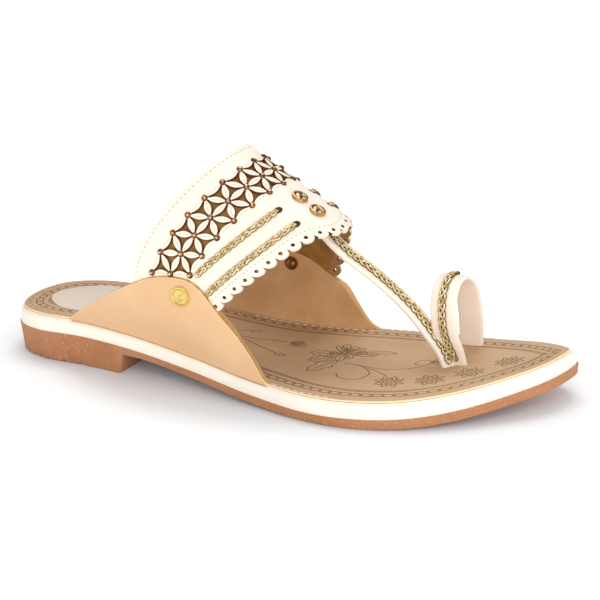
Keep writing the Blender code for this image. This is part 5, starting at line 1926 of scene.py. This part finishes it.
@dataclass
class Straps:
    """The thong strap and the toe loop, with the plaits on them."""

    upper: Upper
    strap_width: float = 0.0070
    strap_wall: float = 0.0030
    strap_roll: float = 30.0
    loop_width: float = 0.0115
    loop_wall: float = 0.0018
    loop_height: float = 0.0355
    settle: float = 0.0006
    anchor_arc: float = 0.0049
    anchor_steps: Row = (0.024, 0.018)
    plait: Plait = Plait(0.0036, 0.0015, 0.0104)
    strap_rows: tuple[Row, ...] = (
        (0.605, 0.036, 0.612, 1.00), (0.628, 0.040, 0.555, 1.00), (0.666, 0.047, 0.478, 1.00),
        (0.702, 0.056, 0.391, 1.00), (0.735, 0.064, 0.297, 1.00), (0.770, 0.068, 0.170, 0.96),
        (0.7950, 0.066, 0.060, 0.88), (0.8040, 0.064, 0.000, 0.80))
    loop_rows: tuple[Row, ...] = (
        (0.8200, 0.094, 0.00, 0.56), (0.8110, 0.074, 0.16, 0.82), (0.8015, 0.050, 0.40, 0.94),
        (0.8000, 0.038, 0.66, 1.00), (0.8000, 0.047, 0.84, 1.00), (0.8000, 0.080, 0.96, 1.00),
        (0.7995, 0.130, 1.00, 1.00), (0.7985, 0.200, 0.965, 1.00), (0.7975, 0.259, 0.87, 1.00),
        (0.7965, 0.310, 0.69, 0.98), (0.7955, 0.345, 0.43, 0.96), (0.7945, 0.358, 0.18, 0.94),
        (0.7940, 0.360, 0.00, 0.92))

    def control(self, rows: Sequence[Row], height: float) -> Array:
        """Points of a table: place along, place across and height over the insole.

        Args:
            rows: the table.
            height: the length that a height of one stands for.

        Returns:
            The points, n by 3.
        """
        sole = self.upper.sole
        table = np.array(rows)
        return np.stack([sole.x_of(table[:, 0]), table[:, 1] * sole.ball_width,
                         sole.insole_top(table[:, 0]) + height * table[:, 2]], axis=1)

    def strap(self) -> tuple[Array, Array, Array, Array]:
        """Middle line, outward and side directions and width of the strap.

        Returns:
            The line, the two directions and the width at each of its points.
        """
        up = self.upper
        lift = -(up.band_wall / 2 + GAP + up.lining_wall + self.settle + self.strap_wall / 2)
        u, depth = up.locate(self.anchor_arc, np.array(self.anchor_steps), True)
        rows = self.control(self.strap_rows, up.instep_rise)
        rows[-1, 2] = up.sole.midsole_top(self.strap_rows[-1][0])
        run, at, line = smooth_line(np.vstack([up.surface(u, depth, lift), rows]), 110)
        widths = np.array([1.0, 1.0] + [row[3] for row in self.strap_rows])
        ahead = unit(np.gradient(line, axis=0))
        flat = unit(np.cross(UP, ahead))
        above = unit(np.cross(ahead, flat))
        roll = (np.radians(self.strap_roll) * ramp(at / run[-1], 0.12, 0.25))[:, None]
        aside = flat * np.cos(roll) + above * np.sin(roll)
        return line, unit(np.cross(ahead, aside)), aside, np.interp(at, run, widths) * self.strap_width

    def loop(self) -> tuple[Array, Array, Array, Array]:
        """Middle line, outward and side directions and width of the toe loop.

        Returns:
            The line, the two directions and the width at each of its points.
        """
        rows = self.control(self.loop_rows, self.loop_height)
        for end in (0, -1):
            rows[end, 2] = self.upper.sole.midsole_top(self.loop_rows[end][0])
        run, at, line = smooth_line(rows, 150)
        width = hermite(run, [row[3] for row in self.loop_rows], at) * self.loop_width
        ahead = unit(np.gradient(line, axis=0))
        aside = unit(np.array([1.0, 0.0, 0.0]) - ahead * ahead[:, :1])
        return line, unit(np.cross(aside, ahead)), aside, width

    def ribbon_form(self, line: Array, out: Array, aside: Array, width: Array, wall: float) -> Form:
        """A leather ribbon: a flat section with rounded sides carried along its line.

        The section is a squared circle: powers of cosine across and of sine through its wall.

        Args:
            line: middle line, n by 3.
            out: direction out of its face, n by 3.
            aside: direction across it, n by 3.
            width: width at each point.
            wall: thickness.

        Returns:
            The closed ribbon, with its seat held on the midsole.
        """
        steps = 28
        angle = angles(steps)
        across, through = squared(np.cos(angle), 0.35), squared(np.sin(angle), 0.75)
        points = (line[:, None] + aside[:, None] * (across[None] * width[:, None] / 2)[..., None]
                  + out[:, None] * (through[None] * wall / 2)[..., None])
        seat = self.upper.sole.midsole_top(self.upper.sole.along(points[..., 0])) + GAP
        points[..., 2] = np.maximum(points[..., 2], seat)
        return tube(points, worn=(np.sin(angle + np.pi / steps) < -0.3).astype(int))

    def build(self) -> None:
        """Build strap, loop and their plaits."""
        strap, loop = self.strap(), self.loop()
        piece("strap_leather", self.ribbon_form(*strap, self.strap_wall), [CREAM, CREAM],
              ["thong_strap"])
        piece("loop_leather", self.ribbon_form(*loop, self.loop_wall), [CREAM, CREAM_BACK],
              ["toe_loop"])
        for name, (line, out, _, _), wall, first, last in (
                ("strap", strap, self.strap_wall, 26, -3), ("loop", loop, self.loop_wall, 7, 82)):
            seat = line + out * wall / 2
            self.plait.build(name, seat[first:last], out[first:last])


@dataclass
class Ornament:
    """The printed line ornament of the insole, drawn as flat ribbons on its face.

    Strokes are curves through a few places in plan, in millimetres.
    """

    sole: Sole
    line_width: float = 0.00052
    lift: float = 0.00007
    chain_inset: float = 0.0088
    chain_pitch: float = 0.0045
    stroke_step: float = 0.0008
    stitch_width: float = 0.0006
    stitch_lift: float = 0.00016
    zigzag_inset: float = 0.0048
    zigzag_end: float = 0.30
    zigzag_step: float = 0.0011
    zigzag_reach: float = 0.0009
    zigzag_width: float = 0.0004
    zigzag_lift: float = 0.00009
    line_insets: Row = (0.0128, 0.0138)
    flower: Row = (27.9, 6.9)
    rosettes: tuple[Row, ...] = ((60.9, -18.5), (75.8, -11.8), (88.3, -1.3), (99.6, 12.6))
    # Size, wobble and shift of each ring of a rosette.
    rosette_rings: tuple[Row, ...] = (
        (5.3, 0.22, 0.0), (3.9, 0.14, 0.39), (2.5, 0.20, 0.0), (1.0, 0.0, 0.0))
    petals: tuple[Row, ...] = (
        (-2.9, 6.0, 1.7), (1.8, 5.5, 1.8), (-5.4, 4.0, 1.6), (5.2, 4.6, 1.5), (-4.7, -1.7, 1.9),
        (-3.4, -5.2, 1.8), (1.6, -6.6, 2.0), (4.8, -3.8, 1.8), (5.8, 0.6, 1.6), (-1.4, 3.2, 1.0),
        (1.3, 3.0, 1.0), (2.6, -0.6, 1.0), (-2.2, -1.4, 1.0))
    leaves: tuple[Row, ...] = (
        (24.8, 3.4, 14.7, 0.8, 1.9), (26.2, 0.0, 18.6, -8.0, 1.8), (29.2, -2.6, 23.7, -19.3, 2.2),
        (32.8, 9.0, 48.7, 13.8, 1.6), (32.0, 6.4, 42.0, 9.8, 1.7), (3.1, 6.6, 10.3, 6.4, 1.0),
        (3.4, 6.8, 7.6, 9.6, 0.9), (3.4, 6.4, 7.0, 3.4, 0.9), (67.0, 9.4, 71.6, 11.8, 1.2),
        (67.2, 9.0, 72.0, 8.0, 1.2))
    buds: tuple[Row, ...] = ((5.4, -8.1, 0.2), (-15.0, 8.9, 0.8), (-48.0, -10.0, 0.3))
    strokes: tuple[tuple[Row, ...], ...] = (
        ((33.9, -4.6), (39.4, -4.6), (45.1, -7.6), (49.0, -12.7), (47.1, -19.6), (42.5, -21.2),
         (38.8, -20.1), (35.9, -16.6)),
        ((38.0, -4.4), (44.0, -5.0), (50.5, -5.8), (60.2, -2.7), (65.6, 3.0), (67.1, 8.0),
         (64.9, 10.1), (61.7, 8.1), (61.4, 4.1), (63.9, 3.7)),
        ((43.0, -5.6), (48.0, -7.6), (52.4, -9.7), (56.7, -12.7)),
        ((-40.0, -1.0), (-28.0, -1.0), (-16.8, 0.3), (-10.5, 1.9), (-5.1, 4.1), (3.1, 6.6)),
        ((-38.0, -1.6), (-26.0, -1.6), (-15.9, -1.7), (-5.9, -4.7), (3.4, -7.5)),
        ((-40.0, 0.0), (-30.0, 0.6), (-22.2, 4.4), (-17.6, 7.9)),
        ((-40.0, -1.8), (-44.0, -5.0), (-47.0, -8.6)))

    def border(self, inset: float, spacing: float) -> Array:
        """A closed line round the insole at an inset from the sole's edge.

        Args:
            inset: how far in from the sole's edge.
            spacing: distance between points.

        Returns:
            The line, closed on its first point.
        """
        outer, inner = self.sole.rim(inset)
        return even_count(np.vstack([outer, inner[::-1]]), spacing)

    def chain(self) -> list[Array]:
        """Linked ovals along the border, each an ellipse turned along the edge.

        Returns:
            The ovals.
        """
        centres = self.border(self.chain_inset, self.chain_pitch)[:-1]
        long, wide = self.chain_pitch * 0.62, self.chain_pitch * 0.34
        return [oval(centre, ahead, long, wide, 15) for centre, ahead in zip(centres, headings(centres))]

    def rosette(self, x: float, y: float) -> list[Array]:
        """A pointed eight-lobed rosette with a ring and a smaller star in it.

        Args:
            x: its centre on the X axis, in millimetres.
            y: its centre on the Y axis, in millimetres.

        Returns:
            Its four lines.
        """
        angle = angles(97, True)
        round_it = np.stack([np.cos(angle), np.sin(angle)], axis=1)
        found = []
        for size, wobble, shift in self.rosette_rings:
            radius = size * (1 + wobble * (1 - 2 * np.abs(np.sin(4 * (angle + shift)))))
            found.append((np.array([x, y]) + radius[:, None] * round_it) / MM)
        return found

    def leaf(self, row: Row) -> list[Array]:
        """A wavy leaf from its foot to its tip: two sides that swell as a sine, and a midrib.

        Args:
            row: foot, tip and fullness, in millimetres.

        Returns:
            Both sides and the midrib.
        """
        foot, tip, fat = np.array(row[:2]), np.array(row[2:4]), row[4] * 1.55
        t = np.linspace(0.0, 1.0, 31)
        ahead = tip - foot
        rib = foot + np.outer(t, ahead)
        swell = fat * np.sin(np.pi * t) ** 0.8 * (1 + 0.22 * np.sin(6 * np.pi * t))
        swell = np.outer(swell, left_of(unit(ahead)))
        return [side / MM for side in (rib + swell, rib - swell, rib[2:24])]

    def petal(self, row: Row) -> list[Array]:
        """A petal of the flower: a drop that starts near the middle and is fullest by its tip.

        Args:
            row: tip from the flower's middle and width, in millimetres.

        Returns:
            The petal's edge and its vein.
        """
        t = angles(25, True)
        tip = np.array(row[:2]) * np.array([1.15, 1.5])
        share = 0.58 - 0.42 * np.cos(t)
        wide = row[2] * 1.25 * np.sin(t) * (0.55 + 0.45 * share) * (1 + 0.10 * np.cos(5 * t))
        vein = np.outer(np.linspace(0.45, 0.85, 5), tip)
        base = np.array(self.flower)
        drop = base + np.outer(share, tip) + np.outer(wide, left_of(unit(tip)))
        return [drop / MM, (base + vein) / MM]

    def stroke(self, places: Sequence[Row]) -> Array:
        """A smooth curve through a few places."""
        points = np.array(places) / MM
        return smooth_line(points, int(chords(points)[-1] / self.stroke_step) + 6)[2]

    def lines(self) -> list[Array]:
        """Every printed line of the ornament, in plan.

        Returns:
            The lines, n by 2 each.
        """
        found = [self.border(inset, 0.002) for inset in self.line_insets]
        found += self.chain()
        found += [line for row in self.petals for line in self.petal(row)]
        found += [line for row in self.leaves for line in self.leaf(row)]
        found += [line for centre in self.rosettes for line in self.rosette(*centre)]
        found += [self.stroke(places) for places in self.strokes]
        found += [oval(np.array([x, y]), np.array([np.cos(turn), np.sin(turn)]), 2.4, 1.1, 17) / MM
                  for x, y, turn in self.buds]
        return found

    def on_face(self, flat: Array, width: float, lift: float) -> Form:
        """Lay a line in plan on the insole as a ribbon.

        Args:
            flat: the line in plan, n by 2.
            width: the ribbon's width.
            lift: the ribbon's height.

        Returns:
            The ribbon.
        """
        height = self.sole.insole_top(self.sole.along(flat[:, 0]))
        line = np.column_stack([flat, height])
        slope = np.gradient(line, axis=0)
        return ribbon(line, unit(np.cross(np.cross(slope, UP), slope)), width, lift)

    def heel_zigzag(self) -> Array:
        """The pale zigzag near the edge of the heel: a triangle wave about a line round the border.

        Returns:
            The line in plan.
        """
        outer, inner = self.sole.rim(self.zigzag_inset)
        reach = float(self.sole.x_of(self.zigzag_end))
        line = np.vstack([outer[outer[:, 0] < reach][::-1], inner[inner[:, 0] < reach]])
        line = even_count(line, self.zigzag_step)
        wave = self.zigzag_reach * np.array([0.0, 1.0, 0.0, -1.0])[np.arange(len(line)) % 4]
        return line + left_of(unit(np.gradient(line, axis=0))) * wave[:, None]

    def stitches(self) -> list[Array]:
        """White stitches along the insole's edges, most of them on the inner side.

        Returns:
            The middle line of each stitch, in plan.
        """
        found = []
        rows = ((0, 0.575, 0.70, 0.0031), (1, 0.40, 0.622, 0.0058), (1, 0.63, 0.80, 0.0031))
        for number, low, high, inset in rows:
            side = self.sole.rim(inset)[number]
            share = self.sole.along(side[:, 0])
            line = even_count(side[(share > low) & (share < high)], 0.0009)
            found += [line[k:k + 3] for k in range(0, len(line) - 3, 4)]
        return found

    def build(self) -> None:
        """Lay every line and stitch on the insole's face."""
        printed = joined(self.on_face(line, self.line_width, self.lift) for line in self.lines())
        piece("insole_ornament", printed, [PRINT])
        sewn = [self.on_face(line, self.stitch_width, self.stitch_lift) for line in self.stitches()]
        piece("insole_stitches", joined(sewn), [THREAD_WHITE])
        zigzag = self.on_face(self.heel_zigzag(), self.zigzag_width, self.zigzag_lift)
        piece("heel_zigzag", zigzag, [ZIGZAG])


@dataclass
class Studio:
    """Floor, light and camera of the picture."""

    azimuth: float = 29.66
    elevation: float = 19.18
    roll: float = -2.40
    distance: float = 1.008
    focal: float = 2414.2
    middle: Row = (281.1, 337.8)
    picture: float = 600.0
    target: Row = (0.0, 0.003, 0.015)
    sensor: float = 36.0
    clip: Row = (0.05, 20.0)
    floor_half: float = 4.0
    floor_drop: float = 0.0001
    shade_squeeze: float = 0.48
    shade_band: Row = (0.050, 0.14)
    world_strength: float = 0.46
    lit_point: Row = (0.0, 0.0, 0.03)
    # Name, place, size, power and colour of each area light.
    lights: tuple[tuple[str, Row, float, float, Row], ...] = (
        ("top", (-0.10, 0.45, 1.25), 0.8, 7.2, (1.0, 0.99, 0.97)),
        ("fill", (0.45, -1.10, 0.70), 1.1, 7.2, (1.0, 0.985, 0.965)),
        ("front", (0.95, -0.55, 0.30), 0.5, 2.6, (1.0, 0.98, 0.95)))

    def camera(self) -> None:
        """Place the camera where the photograph was taken from."""
        a, e, w = np.radians([self.azimuth, self.elevation, self.roll])
        back = np.array([np.sin(a) * np.cos(e), -np.cos(a) * np.cos(e), np.sin(e)])
        right = np.array([np.cos(a), np.sin(a), 0.0])
        above = np.cross(back, right)
        right, above = right * np.cos(w) + above * np.sin(w), above * np.cos(w) - right * np.sin(w)
        eye = np.array(self.target) + back * self.distance
        shift_x = (self.middle[0] - self.picture / 2) / self.focal
        shift_y = -(self.middle[1] - self.picture / 2) / self.focal
        forward = unit(-back - shift_x * right - shift_y * above)
        across = unit(np.cross(forward, above))
        upward = np.cross(across, forward)
        data = bpy.data.cameras.new("camera")
        data.sensor_width = self.sensor
        data.lens = self.focal / self.picture * self.sensor
        data.clip_start, data.clip_end = self.clip
        made = new_object("camera", data)
        made.matrix_world = Matrix.Translation(Vector(eye)) @ Matrix(
            np.stack([across, upward, -forward], axis=1).tolist()).to_4x4()
        bpy.context.scene.camera = made

    def light(self, name: str, place: Row, size: float, power: float, colour: Row) -> None:
        """Add a soft area light that faces the shoe.

        Args:
            name: the light's name.
            place: where it stands.
            size: side of its square.
            power: watts.
            colour: its colour.
        """
        data = bpy.data.lights.new(name, "AREA")
        data.size, data.energy, data.color = size, power, colour
        made = new_object(name, data)
        made.location = place
        aim = Vector(self.lit_point) - Vector(place)
        made.rotation_euler = aim.to_track_quat("-Z", "Y").to_euler()

    def floor(self) -> None:
        """Lay a white floor that glows away from the shoe, so that its far parts stay white; near the
        shoe its faint blue glow is a painted blue tint in the shadow.
        """
        half, low = self.floor_half, -self.floor_drop
        corners = [(-half, -half, low), (half, -half, low), (half, half, low), (-half, half, low)]
        mesh = bpy.data.meshes.new("floor")
        mesh.from_pydata(corners, [], [(0, 1, 2, 3)])
        graph = Graph("white_floor")
        inputs = {0: graph.place(), 1: (self.shade_squeeze, 1.0, 1.0)}
        squeezed = graph.node("ShaderNodeVectorMath", inputs, operation="MULTIPLY")
        away = graph.node("ShaderNodeVectorMath", {0: squeezed}, "Value", operation="LENGTH")
        # Near the shoe a faint blue glow, painted blue tint in the shadow; far off a glow that keeps the
        # floor white.
        near, far = (0.010, 0.030, 0.050, 1.0), (0.9, 0.9, 0.9, 1.0)
        glow = graph.mix(graph.band(away, *self.shade_band), near, far)
        mesh.materials.append(graph.dress(
            Base_Color=(0.84, 0.84, 0.84, 1.0), Roughness=0.9, Specular_IOR_Level=0.0,
            Emission_Color=glow, Emission_Strength=1.0))
        floor = new_object("floor", mesh)
        floor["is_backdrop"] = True

    def world(self) -> None:
        """Set the pale light from all round."""
        world = bpy.data.worlds.new("studio")
        bpy.context.scene.world = world
        world.use_nodes = True
        inputs = world.node_tree.nodes["Background"].inputs
        inputs["Color"].default_value = (0.97, 0.98, 1.0, 1.0)
        inputs["Strength"].default_value = self.world_strength

    def build(self) -> None:
        """Set camera, floor, world, lights and colour."""
        self.camera()
        self.floor()
        self.world()
        for row in self.lights:
            self.light(*row)
        bpy.context.scene.view_settings.view_transform = "Standard"


def main() -> None:
    """Build every sub-assembly in order and work out the boxes."""
    logging.basicConfig(level=logging.INFO, format="%(name)s %(message)s")
    sole = Sole()
    upper = Upper(sole)
    for part in (Studio(), sole, Ornament(sole), Band(upper), Wings(upper), Straps(upper)):
        LOG.info("building %s", type(part).__name__)
        part.build()
    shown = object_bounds()
    {"cad": [list(corner) for corner in CAD_BOX], "visual": [list(corner) for corner in shown]}


if __name__ == "__main__":
    main()
